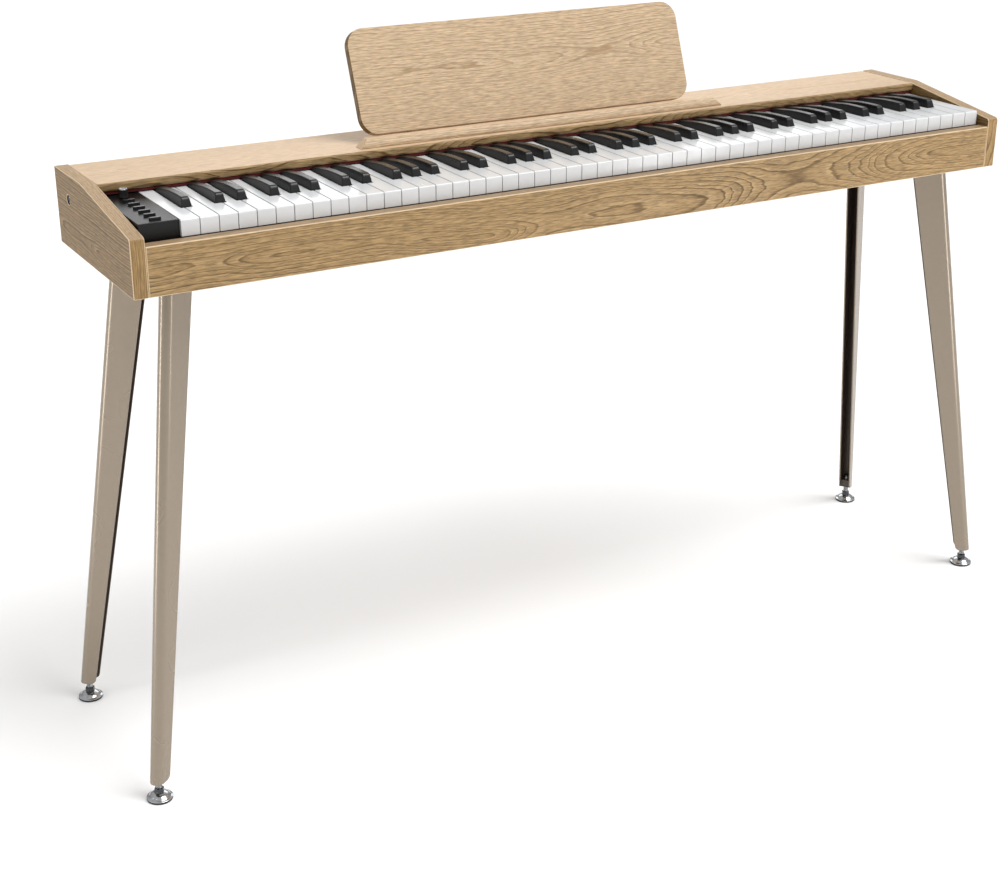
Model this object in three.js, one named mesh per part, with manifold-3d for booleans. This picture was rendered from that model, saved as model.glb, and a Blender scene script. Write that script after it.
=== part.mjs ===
// Digital piano on four splayed sheet-metal legs: 88 hinged keys in a slim wood case,
// with a lift-off music rest, a control block at the bass end and levelling feet.
// Millimetres, +Z up, origin on the floor under the middle, front towards -Y, bass towards -X.
import * as THREE from 'three';
import { mergeVertices } from 'three/addons/utils/BufferGeometryUtils.js';
import Module from 'manifold-3d';

const wasm = await Module();
wasm.setup();

// ---------- driving dimensions ----------
const CASE_DEPTH = 280;
const CASE_TOP = 752;               // top of the end panels above the floor
const CASE_HEIGHT = 97;
const PANEL_THICKNESS = 18;
const PANEL_NOSE_DROP = 26;         // how far the end panel's front edge lies below its top
const PANEL_FLAT = 105;             // level part of the end panel's top, from the back
const PANEL_NOSE_RADIUS = 5;
const TOP_BOARD_THICKNESS = 11;
const TOP_BOARD_EDGE = 3.5;         // rounding of the top board's front edge
const TOP_BOARD_INSET = 1;          // below the end panels' top and in front of their back
const BOTTOM_BOARD_THICKNESS = 12;
const BACK_PANEL_THICKNESS = 12;
const BACK_PANEL_INSET = 4;
const RAIL_THICKNESS = 18;
const SEAM = 0.3;                   // gap between fixed pieces that touch

const WHITE_PITCH = 23.5;
const WHITE_COUNT = 52;
const WHITE_GAP = 1;
const WHITE_HEIGHT = 20;
const KEY_HEADROOM = 5;             // white key tops below the top board's underside
const WHITE_VISIBLE = 143;          // white key front to the top board's front edge
const KEY_FRONT_GAP = 3;            // white key fronts behind the front rail
const RAIL_BELOW_KEYS = 20;         // rail top below the white key tops
const BLACK_WIDTH = 13.7;
const BLACK_TOP_WIDTH = 9.6;
const BLACK_SETBACK = 50;           // black key fronts behind the white key fronts
const BLACK_RISE = 11.5;
const BLACK_REAR_CLEARANCE = 1;     // a black key's rear end below the top board
const BLACK_DEPTH_BELOW = 14;
const BLACK_SIDE_CLEARANCE = 0.8;
const TAIL_CLEARANCE = 29;          // key tails to the back panel
const PIVOT_FROM_TAIL = 9;
const KEY_DIP = 10;                 // travel at a white key's front edge
const COMB_BAR = 8;                 // depth and height of the bars that join a bank of keys
const BAR_CLEARANCE = 1;            // black keys' bar above the white key tails
const BAR_BELOW_BOARD = 1.5;        // and below the top board, which it rises towards

const CONTROL_WIDTH = 48;
const CONTROL_SETBACK = 4;          // control block front behind the white key fronts
const CONTROL_WALL = 2.5;
const CONTROL_EDGE = 1;             // rounding of the control block's front edge
const CONTROL_HEIGHT = 35;
const CONTROL_GAP = 2;              // control block to the left end panel
const TREBLE_GAP = 3.5;             // last key to the right end panel
const BUTTON_COUNT = 6;
const BUTTON_LENGTH = 14.5;
const BUTTON_WIDTH = 4;
const BUTTON_RISE = 3;
const BUTTON_FIRST = 12;           // first button behind the control block's front
const BUTTON_CLEARANCE = 0.4;
const KNOB_RADIUS = 5.8;
const KNOB_HEIGHT = 12;
const KNOB_SPINDLE_RADIUS = 2.5;
const KNOB_FROM_LAST_BUTTON = 19;
const KNOB_FROM_BOARD = 16;         // knob's axis in front of the top board's edge

const REST_WIDTH = 516;
const REST_HEIGHT = 139;
const REST_THICKNESS = 11;
const REST_LEAN = 21;               // degrees back from upright
const REST_CORNER_RADIUS = 24;
const REST_OFFSET = -12;            // rest centre towards the bass
const REST_BEHIND_LEDGE = 7;
const REST_PIN_RADIUS = 3;
const REST_PIN_SPACING = 380;
const REST_PIN_DEPTH = 14;          // pin length inside the rest's lower edge
const PIN_CLEARANCE = 0.5;
const LEDGE_LENGTH = 572;
const LEDGE_DEPTH = 17;
const LEDGE_HEIGHT = 11;
const LEDGE_END_BEVEL = 12;
const LEDGE_SETBACK = 11;           // ledge front behind the top board's front edge

const LEG_WIDTH = 19.2;
const LEG_SHEET = 2;
const LEG_DEPTH_TOP = 48;
const LEG_DEPTH_FOOT = 23;
const LEG_SPLAY = 99;               // outward lean of a leg's nose, from top to bottom
const LEG_HEADING = 35;             // degrees from the case's long axis
const LEG_INSET_X = 50;             // nose of a leg's top end inside the case ends
const LEG_INSET_Y = 47;
const LEG_CLEARANCE = 25;           // bottom of the leg above the floor
const LEG_PLUG = 14;                // solid bottom end that holds the foot's stud
const LEG_PLATE_LENGTH = 48;
const LEG_PLATE_WIDTH = 56;
const LEG_PLATE_THICKNESS = 3;
const FOOT_RADIUS = 16.75;
const FOOT_PAD_HEIGHT = 9;
const FOOT_NUT_HEIGHT = 7;
const FOOT_NUT_RADIUS = 6.5;
const STUD_RADIUS = 4;
const STUD_CLEARANCE = 0.5;
const STUD_ABOVE_PLUG = 6;

const SPEAKER_RADIUS = 46;
const SPEAKER_RIM = 5;              // seat of the speaker around its hole
const SPEAKER_MAGNET_RADIUS = 24;
const SPEAKER_HEADROOM = 0.7;       // speaker magnets below the key frame
const SPEAKER_SPREAD = 760;         // between the two speaker centres
const MAIN_BOARD_WIDTH = 156;
const MAIN_BOARD_GAP = 8;           // main circuit board to the left speaker
const JACK_WIDTH = 128;
const JACK_HEIGHT = 32;
const JACK_FLANGE = 4;
const JACK_FLANGE_THICKNESS = 2.5;
const JACK_CENTRE = -430;
const JACK_CLEARANCE = 0.4;
const SOCKET_DEPTH = 3.5;
const SCREW_HEAD_RADIUS = 6;
const SCREW_SHANK_RADIUS = 3;
const SCREW_FROM_BACK = 50;
const SCREW_BELOW_TOP = 32;
const SCREW_COUNTERBORE = 4.5;
const SCREW_RECESS = 0.7;           // screw head below the end panel's face
const SCREW_SOCKET_RADIUS = 2.6;
const SCREW_SOCKET_DEPTH = 1.5;
const FRAME_PLATE = 3;
const FRAME_WALL = 4;
const FRAME_DROP = 15;              // frame plate below a fully pressed white key
const FRAME_FRONT_DEPTH = 26;       // front step of the frame, under the key fronts
const FULCRUM_DEPTH = 6;
const FULCRUM_CLEARANCE = 0.9;      // fulcrum ridge below the keys
const STOP_CLEARANCE = 1.5;         // stop felt below a fully pressed white key
const SENSOR_DEPTH = 40;
const SENSOR_THICKNESS = 2;
const FELT_THICKNESS = 3;
const FELT_BEHIND_EDGE = 2.5;       // nameboard felt behind the top board's front edge
const FELT_ABOVE_KEYS = 1;
const CAP_TO_FELT = 1;              // black keys' raised part to the nameboard felt
const STOP_FELT_DEPTH = 16;

// ---------- derived places ----------
const frontY = -CASE_DEPTH / 2;
const backY = CASE_DEPTH / 2;
const caseBottom = CASE_TOP - CASE_HEIGHT;
const keyboardWidth = WHITE_COUNT * WHITE_PITCH;
const innerWidth = CONTROL_GAP + CONTROL_WIDTH + WHITE_GAP / 2 + keyboardWidth + TREBLE_GAP;
const innerLeft = -innerWidth / 2;
const innerRight = innerWidth / 2;
const keyboardLeft = innerRight - TREBLE_GAP - keyboardWidth;
const boardWidth = innerWidth - 2 * SEAM;
const keyFrontY = frontY + RAIL_THICKNESS + KEY_FRONT_GAP;
const backPanelFront = backY - BACK_PANEL_INSET - BACK_PANEL_THICKNESS;
const tailEndY = backPanelFront - TAIL_CLEARANCE;
const pivotY = tailEndY - PIVOT_FROM_TAIL;
const boardTop = CASE_TOP - TOP_BOARD_INSET;
const boardUnder = boardTop - TOP_BOARD_THICKNESS;
const keyTop = boardUnder - KEY_HEADROOM;
const blackRearTop = boardUnder - BLACK_REAR_CLEARANCE;
const boardFrontY = keyFrontY + WHITE_VISIBLE;
const floorBoardTop = caseBottom + BOTTOM_BOARD_THICKNESS;
const feltFrontY = boardFrontY + FELT_BEHIND_EDGE;
const capEndY = feltFrontY - CAP_TO_FELT;
const blackFrontY = keyFrontY + BLACK_SETBACK;
const notchHalf = BLACK_WIDTH / 2 + BLACK_SIDE_CLEARANCE;
const pressedUnder = keyTop - WHITE_HEIGHT - KEY_DIP;   // underside of a fully pressed white key's front
const frameZ = pressedUnder - FRAME_DROP;              // top of the key frame's plate

// ---------- finishes ----------
const finish = (color, roughness, metalness = 0) => ({ color, roughness, metalness });
const OAK = finish(0xc9a877, 0.55);
const OAK_LIGHT = finish(0xd9c09c, 0.55);
const CHAMPAGNE = finish(0x9c8e7e, 0.38, 0.55);
const CHROME = finish(0xc9ccd0, 0.12, 1);
const STEEL = finish(0x9a9da2, 0.35, 0.9);
const KEY_WHITE = finish(0xf6f6f3, 0.22);
const KEY_BLACK = finish(0x161617, 0.42);
const PLASTIC_BLACK = finish(0x1b1c1e, 0.5);
const KNOB_SILVER = finish(0xa8abb0, 0.3, 0.8);
const FELT_RED = finish(0x6d1218, 0.95);
const FELT_GREY = finish(0x55504b, 0.95);
const CIRCUIT_GREEN = finish(0x1f5a3a, 0.5);
const PAPER_CONE = finish(0x24211f, 0.9);

const piano = new THREE.Group();

function place(parent, name, geometry, look, position = [0, 0, 0]) {
  const mesh = new THREE.Mesh(geometry, new THREE.MeshStandardMaterial(look));
  mesh.name = name;
  mesh.position.set(...position);
  parent.add(mesh);
  return mesh;
}

// ---------- shape helpers ----------
function boxAt(x0, x1, y0, y1, z0, z1) {
  const box = new THREE.BoxGeometry(x1 - x0, y1 - y0, z1 - z0);
  return box.translate((x0 + x1) / 2, (y0 + y1) / 2, (z0 + z1) / 2);
}

function extrudeUp(shape, z0, height, curveSegments = 4) {
  const geometry = new THREE.ExtrudeGeometry(shape, { depth: height, bevelEnabled: false, curveSegments });
  return geometry.translate(0, 0, z0);
}

const AXIS_X = new THREE.Vector3(1, 0, 0);
const AXIS_Y = new THREE.Vector3(0, 1, 0);
const AXIS_Z = new THREE.Vector3(0, 0, 1);
const SIDE_PROFILE = new THREE.Matrix4().makeBasis(AXIS_Y, AXIS_Z, AXIS_X);
const FRONT_PROFILE = new THREE.Matrix4().makeBasis(AXIS_X, AXIS_Z, AXIS_Y.clone().negate());

// The shape's x and y become the world's Y and Z, and the piece runs along X from x0.
function extrudeAlong(shape, x0, length, curveSegments = 4) {
  return extrudeUp(shape, 0, length, curveSegments).applyMatrix4(SIDE_PROFILE).translate(x0, 0, 0);
}

// The shape's x and y become the world's X and Z, and the piece runs forward from yBack.
function extrudeForward(shape, yBack, length, curveSegments = 4) {
  return extrudeUp(shape, 0, length, curveSegments).applyMatrix4(FRONT_PROFILE).translate(0, yBack, 0);
}

function polygon(points) {
  return new THREE.Shape(points.map(([x, y]) => new THREE.Vector2(x, y)));
}

function roundHole(x, y, radius) {
  const hole = new THREE.Path();
  hole.absarc(x, y, radius, 0, 2 * Math.PI, true);
  return hole;
}

function roundedRectangle(width, height, radius) {
  const w = width / 2 - radius;
  const h = height / 2 - radius;
  const shape = new THREE.Shape();
  shape.absarc(w, h, radius, 0, Math.PI / 2);
  shape.absarc(-w, h, radius, Math.PI / 2, Math.PI);
  shape.absarc(-w, -h, radius, Math.PI, 1.5 * Math.PI);
  shape.absarc(w, -h, radius, 1.5 * Math.PI, 2 * Math.PI);
  return shape;
}

function turned(profile, segments) {
  const lathe = new THREE.LatheGeometry(profile.map(([r, z]) => new THREE.Vector2(r, z)), segments);
  return lathe.rotateX(Math.PI / 2);
}

function cylinderUp(x, y, z0, z1, radius, segments = 20) {
  const cylinder = new THREE.CylinderGeometry(radius, radius, z1 - z0, segments).rotateX(Math.PI / 2);
  return cylinder.translate(x, y, (z0 + z1) / 2);
}

function cylinderAlong(x0, x1, y, z, radius, segments = 20) {
  const cylinder = new THREE.CylinderGeometry(radius, radius, x1 - x0, segments).rotateZ(Math.PI / 2);
  return cylinder.translate((x0 + x1) / 2, y, z);
}

function solid(geometry) {
  const bare = geometry.clone();
  bare.deleteAttribute('normal');
  bare.deleteAttribute('uv');
  const merged = mergeVertices(bare, 1e-4);
  const vertProperties = new Float32Array(merged.attributes.position.array);
  const triVerts = new Uint32Array(merged.index.array);
  return new wasm.Manifold(new wasm.Mesh({ numProp: 3, vertProperties, triVerts }));
}

function combine(base, added = [], cut = []) {
  let body = solid(base);
  for (const piece of added) body = body.add(solid(piece));
  for (const piece of cut) body = body.subtract(solid(piece));
  const mesh = body.getMesh();
  const geometry = new THREE.BufferGeometry();
  geometry.setAttribute('position', new THREE.BufferAttribute(mesh.vertProperties, 3));
  geometry.setIndex(new THREE.BufferAttribute(mesh.triVerts, 1));
  geometry.computeVertexNormals();
  return geometry;
}

// ---------- case ----------
function panelProfile() {
  const noseZ = CASE_TOP - PANEL_NOSE_DROP;
  const bendY = backY - PANEL_FLAT;
  const slope = Math.atan2(PANEL_NOSE_DROP, bendY - frontY);
  const r = PANEL_NOSE_RADIUS;
  const tangent = r * Math.tan((Math.PI / 2 - slope) / 2);
  const shape = new THREE.Shape();
  shape.moveTo(frontY, caseBottom);
  shape.lineTo(backY, caseBottom);
  shape.lineTo(backY, CASE_TOP);
  shape.lineTo(bendY, CASE_TOP);
  shape.lineTo(frontY + tangent * Math.cos(slope), noseZ + tangent * Math.sin(slope));
  shape.absarc(frontY + r, noseZ - tangent, r, Math.PI / 2 + slope, Math.PI, false);
  return shape;
}

const screwY = backY - SCREW_FROM_BACK;
const screwZ = CASE_TOP - SCREW_BELOW_TOP;

function endPanel(side) {
  const inner = side * innerWidth / 2;
  const outer = side * (innerWidth / 2 + PANEL_THICKNESS);
  const left = Math.min(inner, outer);
  const boreRadius = SCREW_HEAD_RADIUS + SEAM;
  const [boreStart, boreEnd] = [outer - side * SCREW_COUNTERBORE, outer + side].sort((a, b) => a - b);
  const shankRadius = SCREW_SHANK_RADIUS + SEAM;
  return combine(extrudeAlong(panelProfile(), left, PANEL_THICKNESS), [], [
    cylinderAlong(boreStart, boreEnd, screwY, screwZ, boreRadius),
    cylinderAlong(left - 1, left + PANEL_THICKNESS + 1, screwY, screwZ, shankRadius),
  ]);
}

function caseScrew(side) {
  const headThickness = SCREW_COUNTERBORE - SCREW_RECESS - SEAM;
  const geometry = turned([
    [0, -SCREW_SOCKET_DEPTH], [SCREW_SOCKET_RADIUS, -SCREW_SOCKET_DEPTH], [SCREW_SOCKET_RADIUS, 0],
    [SCREW_HEAD_RADIUS, 0], [SCREW_HEAD_RADIUS, -headThickness], [SCREW_SHANK_RADIUS, -headThickness],
    [SCREW_SHANK_RADIUS, -PANEL_THICKNESS], [0, -PANEL_THICKNESS],
  ].reverse(), 18);
  const outer = side * (innerWidth / 2 + PANEL_THICKNESS - SCREW_RECESS);
  return geometry.rotateY(side * Math.PI / 2).translate(outer, screwY, screwZ);
}

const restBottomY = boardFrontY + LEDGE_SETBACK + LEDGE_DEPTH + REST_BEHIND_LEDGE;
const restBottomZ = boardTop + LEDGE_HEIGHT;
const lean = THREE.MathUtils.degToRad(REST_LEAN);

// A pin of the music rest, along the rest's leaning middle plane, from the board up.
function restPin(x, radius, below, above) {
  const pin = cylinderUp(0, 0, -below, above, radius, 16);
  pin.translate(0, REST_THICKNESS / 2, 0).rotateX(-lean);
  return pin.translate(x, restBottomY, restBottomZ);
}

const pinBelow = (restBottomZ - boardUnder) / Math.cos(lean) - 3;
const pinPlaces = [REST_OFFSET - REST_PIN_SPACING / 2, REST_OFFSET + REST_PIN_SPACING / 2];

function topBoard() {
  const back = backY - TOP_BOARD_INSET;
  const r = TOP_BOARD_EDGE;
  const shape = new THREE.Shape();
  shape.moveTo(boardFrontY + r, boardUnder);
  shape.lineTo(back, boardUnder);
  shape.lineTo(back, boardTop);
  shape.lineTo(boardFrontY + r, boardTop);
  shape.absarc(boardFrontY + r, boardTop - r, r, Math.PI / 2, Math.PI, false);
  shape.absarc(boardFrontY + r, boardUnder + r, r, Math.PI, 1.5 * Math.PI, false);
  const holes = pinPlaces.map((x) => restPin(x, REST_PIN_RADIUS + PIN_CLEARANCE, 40, 10));
  return combine(extrudeAlong(shape, innerLeft + SEAM, boardWidth), [], holes);
}

function frontRail() {
  return boxAt(innerLeft + SEAM, innerRight - SEAM, frontY, frontY + RAIL_THICKNESS,
    caseBottom, keyTop - RAIL_BELOW_KEYS);
}

function bottomBoard() {
  const board = polygon([
    [innerLeft + SEAM, frontY + RAIL_THICKNESS + SEAM], [innerRight - SEAM, frontY + RAIL_THICKNESS + SEAM],
    [innerRight - SEAM, backPanelFront - SEAM], [innerLeft + SEAM, backPanelFront - SEAM],
  ]);
  const holeRadius = SPEAKER_RADIUS - SPEAKER_RIM;
  for (const side of [-1, 1]) board.holes.push(roundHole(side * SPEAKER_SPREAD / 2, 0, holeRadius));
  return extrudeUp(board, caseBottom, BOTTOM_BOARD_THICKNESS, 12);
}

const jackZ = (floorBoardTop + boardUnder) / 2;

function backPanel() {
  const [left, right] = [innerLeft + SEAM, innerRight - SEAM];
  const top = boardUnder - SEAM;
  const shape = polygon([[left, caseBottom], [right, caseBottom], [right, top], [left, top]]);
  const w = JACK_WIDTH / 2 + JACK_CLEARANCE;
  const h = JACK_HEIGHT / 2 + JACK_CLEARANCE;
  const opening = new THREE.Path();
  opening.setFromPoints([[-w, -h], [-w, h], [w, h], [w, -h]]
    .map(([x, z]) => new THREE.Vector2(JACK_CENTRE + x, jackZ + z)));
  shape.holes.push(opening);
  return extrudeForward(shape, backY - BACK_PANEL_INSET, BACK_PANEL_THICKNESS);
}

function jackPanel() {
  const face = backY - BACK_PANEL_INSET + SEAM + JACK_FLANGE_THICKNESS;
  const w = JACK_WIDTH / 2;
  const h = JACK_HEIGHT / 2;
  const block = boxAt(-w, w, backPanelFront - 6, face - 1, -h, h);
  const flange = boxAt(-w - JACK_FLANGE, w + JACK_FLANGE, face - JACK_FLANGE_THICKNESS, face,
    -h - JACK_FLANGE, h + JACK_FLANGE);
  const socket = (x, radius) => new THREE.CylinderGeometry(radius, radius, 2 * SOCKET_DEPTH, 16)
    .translate(x, face, 0);
  const usb = boxAt(30, 40, face - SOCKET_DEPTH, face + SOCKET_DEPTH, -4.5, 4.5);
  const cut = [socket(-50, 3.2), socket(-28, 3.6), socket(-8, 3.6), socket(12, 3.6), usb];
  return combine(block, [flange], cut);
}

function speaker() {
  const seat = floorBoardTop + SEAM;
  const top = frameZ - FRAME_PLATE - SPEAKER_HEADROOM;
  const hole = SPEAKER_RADIUS - SPEAKER_RIM;
  return turned([
    [0, seat + 6], [10, seat + 8], [13, seat + 10],
    [hole - 7, seat + 2.5], [hole - 4, seat + 3.5], [hole - 1, seat],
    [SPEAKER_RADIUS, seat], [SPEAKER_RADIUS, seat + 2.6], [hole - 2, seat + 5],
    [SPEAKER_MAGNET_RADIUS, top - 7], [SPEAKER_MAGNET_RADIUS, top], [0, top],
  ], 22);
}

function ledge() {
  const y0 = boardFrontY + LEDGE_SETBACK;
  const z0 = boardTop + SEAM;
  const z1 = boardTop + LEDGE_HEIGHT;
  const shape = new THREE.Shape();
  shape.moveTo(y0, z0);
  shape.lineTo(y0 + LEDGE_DEPTH, z0);
  shape.lineTo(y0 + LEDGE_DEPTH, z1);
  shape.lineTo(y0 + LEDGE_DEPTH / 2, z1);
  shape.quadraticCurveTo(y0 + LEDGE_DEPTH / 6, z1 - 1, y0, z0 + 2.5);
  const geometry = extrudeAlong(shape, -LEDGE_LENGTH / 2, LEDGE_LENGTH, 5);
  const position = geometry.attributes.position;
  for (let i = 0; i < position.count; i += 1) {
    const bevel = LEDGE_END_BEVEL * (position.getZ(i) - z0) / (z1 - z0);
    position.setX(i, position.getX(i) - Math.sign(position.getX(i)) * bevel);
  }
  return geometry;
}

const caseGroup = new THREE.Group();
piano.add(caseGroup);
place(caseGroup, 'end_panel_left', endPanel(-1), OAK);
place(caseGroup, 'end_panel_right', endPanel(1), OAK);
place(caseGroup, 'case_screw_left', caseScrew(-1), PLASTIC_BLACK);
place(caseGroup, 'case_screw_right', caseScrew(1), PLASTIC_BLACK);
place(caseGroup, 'top_board', topBoard(), OAK_LIGHT);
place(caseGroup, 'front_rail', frontRail(), OAK);
place(caseGroup, 'bottom_board', bottomBoard(), OAK);
place(caseGroup, 'back_panel', backPanel(), OAK);
place(caseGroup, 'jack_panel', jackPanel(), PLASTIC_BLACK, [JACK_CENTRE, 0, jackZ]);
place(caseGroup, 'speaker_left', speaker(), PAPER_CONE, [-SPEAKER_SPREAD / 2, 0, 0]);
place(caseGroup, 'speaker_right', speaker(), PAPER_CONE, [SPEAKER_SPREAD / 2, 0, 0]);
place(caseGroup, 'music_rest_ledge', ledge(), OAK_LIGHT);

// ---------- music rest ----------
const restGroup = new THREE.Group();
restGroup.position.set(REST_OFFSET, restBottomY, restBottomZ);
restGroup.rotation.x = -lean;
piano.add(restGroup);

function restBoard() {
  const board = extrudeForward(roundedRectangle(REST_WIDTH, REST_HEIGHT, REST_CORNER_RADIUS),
    REST_THICKNESS, REST_THICKNESS).translate(0, 0, REST_HEIGHT / 2);
  const pinHole = (x) =>
    cylinderUp(x, REST_THICKNESS / 2, -1, REST_PIN_DEPTH + SEAM, REST_PIN_RADIUS + SEAM, 16);
  return combine(board, [], [pinHole(-REST_PIN_SPACING / 2), pinHole(REST_PIN_SPACING / 2)]);
}

place(restGroup, 'music_rest_board', restBoard(), OAK);
for (const [side, sign] of [['left', -1], ['right', 1]]) {
  const pin = cylinderUp(0, 0, -pinBelow, REST_PIN_DEPTH, REST_PIN_RADIUS, 16);
  place(restGroup, `music_rest_pin_${side}`, pin, STEEL,
    [sign * REST_PIN_SPACING / 2, REST_THICKNESS / 2, 0]);
}

// ---------- keyboard ----------
// White keys are numbered from the lowest A. Each letter tells whether a black key follows it,
// and how far that black key's middle lies from the gap between the two white keys.
const LETTERS = ['A', 'B', 'C', 'D', 'E', 'F', 'G'];
const BLACK_OFFSET = { A: 3, C: -2, D: 2, F: -3, G: 0 };
const letterOf = (index) => LETTERS[index % LETTERS.length];
const octaveOf = (index) => Math.floor((index + 5) / LETTERS.length);
const hasBlackAfter = (index) => index >= 0 && index < WHITE_COUNT - 1 && letterOf(index) in BLACK_OFFSET;
const gapX = (index) => keyboardLeft + index * WHITE_PITCH;
const blackX = (index) => gapX(index + 1) + BLACK_OFFSET[letterOf(index)];

function whiteKey(index) {
  const left = gapX(index) + WHITE_GAP / 2;
  const right = gapX(index + 1) - WHITE_GAP / 2;
  const shoulder = blackFrontY - BLACK_SIDE_CLEARANCE;
  const tailLeft = hasBlackAfter(index - 1) ? blackX(index - 1) + notchHalf : left;
  const tailRight = hasBlackAfter(index) ? blackX(index) - notchHalf : right;
  const outline = [[left, keyFrontY], [right, keyFrontY]];
  if (tailRight < right) outline.push([right, shoulder]);
  if (tailRight < right) outline.push([tailRight, shoulder]);
  outline.push([tailRight, tailEndY], [tailLeft, tailEndY]);
  if (tailLeft > left) outline.push([tailLeft, shoulder]);
  if (tailLeft > left) outline.push([left, shoulder]);
  return extrudeUp(polygon(outline), keyTop - WHITE_HEIGHT, WHITE_HEIGHT);
}

const blackBarBottom = keyTop + BAR_CLEARANCE;
const blackBarTop = boardUnder - BAR_BELOW_BOARD;

function blackKey(index) {
  const baseZ = keyTop - 1;
  const topZ = keyTop + BLACK_RISE;
  const side = [
    [blackFrontY, keyTop - BLACK_DEPTH_BELOW], [tailEndY, keyTop - BLACK_DEPTH_BELOW],
    [tailEndY, blackBarTop], [tailEndY - COMB_BAR, blackBarTop], [tailEndY - COMB_BAR, keyTop - 3],
    [capEndY, keyTop - 3], [capEndY, blackRearTop], [(blackFrontY + capEndY) / 2, topZ - 1.4],
    [blackFrontY + 8, topZ], [blackFrontY + 4.5, topZ - 1.2], [blackFrontY, baseZ],
  ];
  const key = extrudeAlong(polygon(side), -BLACK_WIDTH / 2, BLACK_WIDTH);
  const position = key.attributes.position;
  for (let i = 0; i < position.count; i += 1) {
    const cap = position.getY(i) < capEndY + 0.01 ? Math.max(0, position.getZ(i) - baseZ) : 0;
    const narrowing = 1 - (1 - BLACK_TOP_WIDTH / BLACK_WIDTH) * cap / (topZ - baseZ);
    position.setX(i, position.getX(i) * narrowing);
  }
  return key.translate(blackX(index), 0, 0);
}

function whiteBank(first, last) {
  const indices = Array.from({ length: last - first + 1 }, (_, i) => first + i);
  const bottom = keyTop - WHITE_HEIGHT;
  const bar = boxAt(gapX(first) + WHITE_GAP / 2, gapX(last + 1) - WHITE_GAP / 2,
    tailEndY - COMB_BAR / 2, tailEndY + COMB_BAR / 2, bottom - COMB_BAR, bottom + 1);
  return combine(bar, indices.map(whiteKey));
}

function blackBank(first, last) {
  const indices = Array.from({ length: last - first + 1 }, (_, i) => first + i).filter(hasBlackAfter);
  const bar = boxAt(blackX(indices[0]) - BLACK_WIDTH / 2 + 1, blackX(indices.at(-1)) + BLACK_WIDTH / 2 - 1,
    tailEndY - COMB_BAR + 1, tailEndY - 1, blackBarBottom, blackBarTop - 0.5);
  return combine(bar, indices.map(blackKey));
}

const keyboard = new THREE.Group();
piano.add(keyboard);
const MIDDLE_C = 23;
const BANKS = [[0, 8], [9, 15], [16, 22], [30, 36], [37, 43], [44, 51]];
BANKS.forEach(([first, last], i) => {
  place(keyboard, `white_keys_bank_${i + 1}`, whiteBank(first, last), KEY_WHITE);
  place(keyboard, `black_keys_bank_${i + 1}`, blackBank(first, last), KEY_BLACK);
});
for (let index = MIDDLE_C; index < MIDDLE_C + LETTERS.length; index += 1) {
  const note = `${letterOf(index).toLowerCase()}${octaveOf(index)}`;
  place(keyboard, `key_${note}`, whiteKey(index), KEY_WHITE);
  if (hasBlackAfter(index)) place(keyboard, `key_${note}_sharp`, blackKey(index), KEY_BLACK);
}

// ---------- key frame, stops, felt and sensor board ----------
const frameLeft = keyboardLeft + 1;
const frameLength = keyboardWidth - 2;
const stopTop = pressedUnder - STOP_CLEARANCE;
const frameFoot = floorBoardTop + SEAM;

function keyFrame() {
  const y0 = keyFrontY;
  const y1 = tailEndY + COMB_BAR;
  const ledgeTop = stopTop - FELT_THICKNESS - SEAM;
  const fulcrumTop = keyTop - WHITE_HEIGHT - FULCRUM_CLEARANCE;
  const ridgeBack = pivotY + 1;
  const ridgeFront = ridgeBack - FULCRUM_DEPTH;
  const stepBack = y0 + FRAME_FRONT_DEPTH;
  const under = frameZ - FRAME_PLATE;
  return extrudeAlong(polygon([
    [y0, frameFoot], [y0 + FRAME_WALL, frameFoot], [y0 + FRAME_WALL, under], [y1 - FRAME_WALL, under],
    [y1 - FRAME_WALL, frameFoot], [y1, frameFoot], [y1, frameZ], [ridgeBack, frameZ], [ridgeBack, fulcrumTop],
    [ridgeFront, fulcrumTop], [ridgeFront, frameZ], [stepBack, frameZ], [stepBack, ledgeTop], [y0, ledgeTop],
  ]), frameLeft, frameLength);
}

function sensorBoard() {
  const y0 = (blackFrontY + pivotY - SENSOR_DEPTH) / 2;
  const z0 = frameZ + SEAM;
  return boxAt(frameLeft + 4, frameLeft + frameLength - 4, y0, y0 + SENSOR_DEPTH, z0, z0 + SENSOR_THICKNESS);
}

place(keyboard, 'key_frame', keyFrame(), STEEL);
place(keyboard, 'key_stop_felt', boxAt(frameLeft + 1, frameLeft + frameLength - 1,
  keyFrontY + FRAME_WALL, keyFrontY + FRAME_WALL + STOP_FELT_DEPTH,
  stopTop - FELT_THICKNESS, stopTop), FELT_GREY);
place(keyboard, 'key_sensor_board', sensorBoard(), CIRCUIT_GREEN);
place(keyboard, 'nameboard_felt', boxAt(innerLeft + CONTROL_GAP, innerRight - TREBLE_GAP, feltFrontY,
  feltFrontY + FELT_THICKNESS, keyTop + FELT_ABOVE_KEYS, boardUnder - SEAM), FELT_RED);

// ---------- control block ----------
const controls = new THREE.Group();
controls.position.set(innerLeft + CONTROL_GAP + CONTROL_WIDTH / 2, keyFrontY + CONTROL_SETBACK, keyTop);
piano.add(controls);
const controlDepth = boardFrontY + 12 - keyFrontY - CONTROL_SETBACK;
const knobY = WHITE_VISIBLE - CONTROL_SETBACK - KNOB_FROM_BOARD;
const buttonPitch = (knobY - KNOB_FROM_LAST_BUTTON - BUTTON_FIRST) / (BUTTON_COUNT - 1);
const buttonY = (i) => BUTTON_FIRST + i * buttonPitch;

function stadium(length, width) {
  return roundedRectangle(length, width, width / 2 - 0.01);
}

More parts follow.
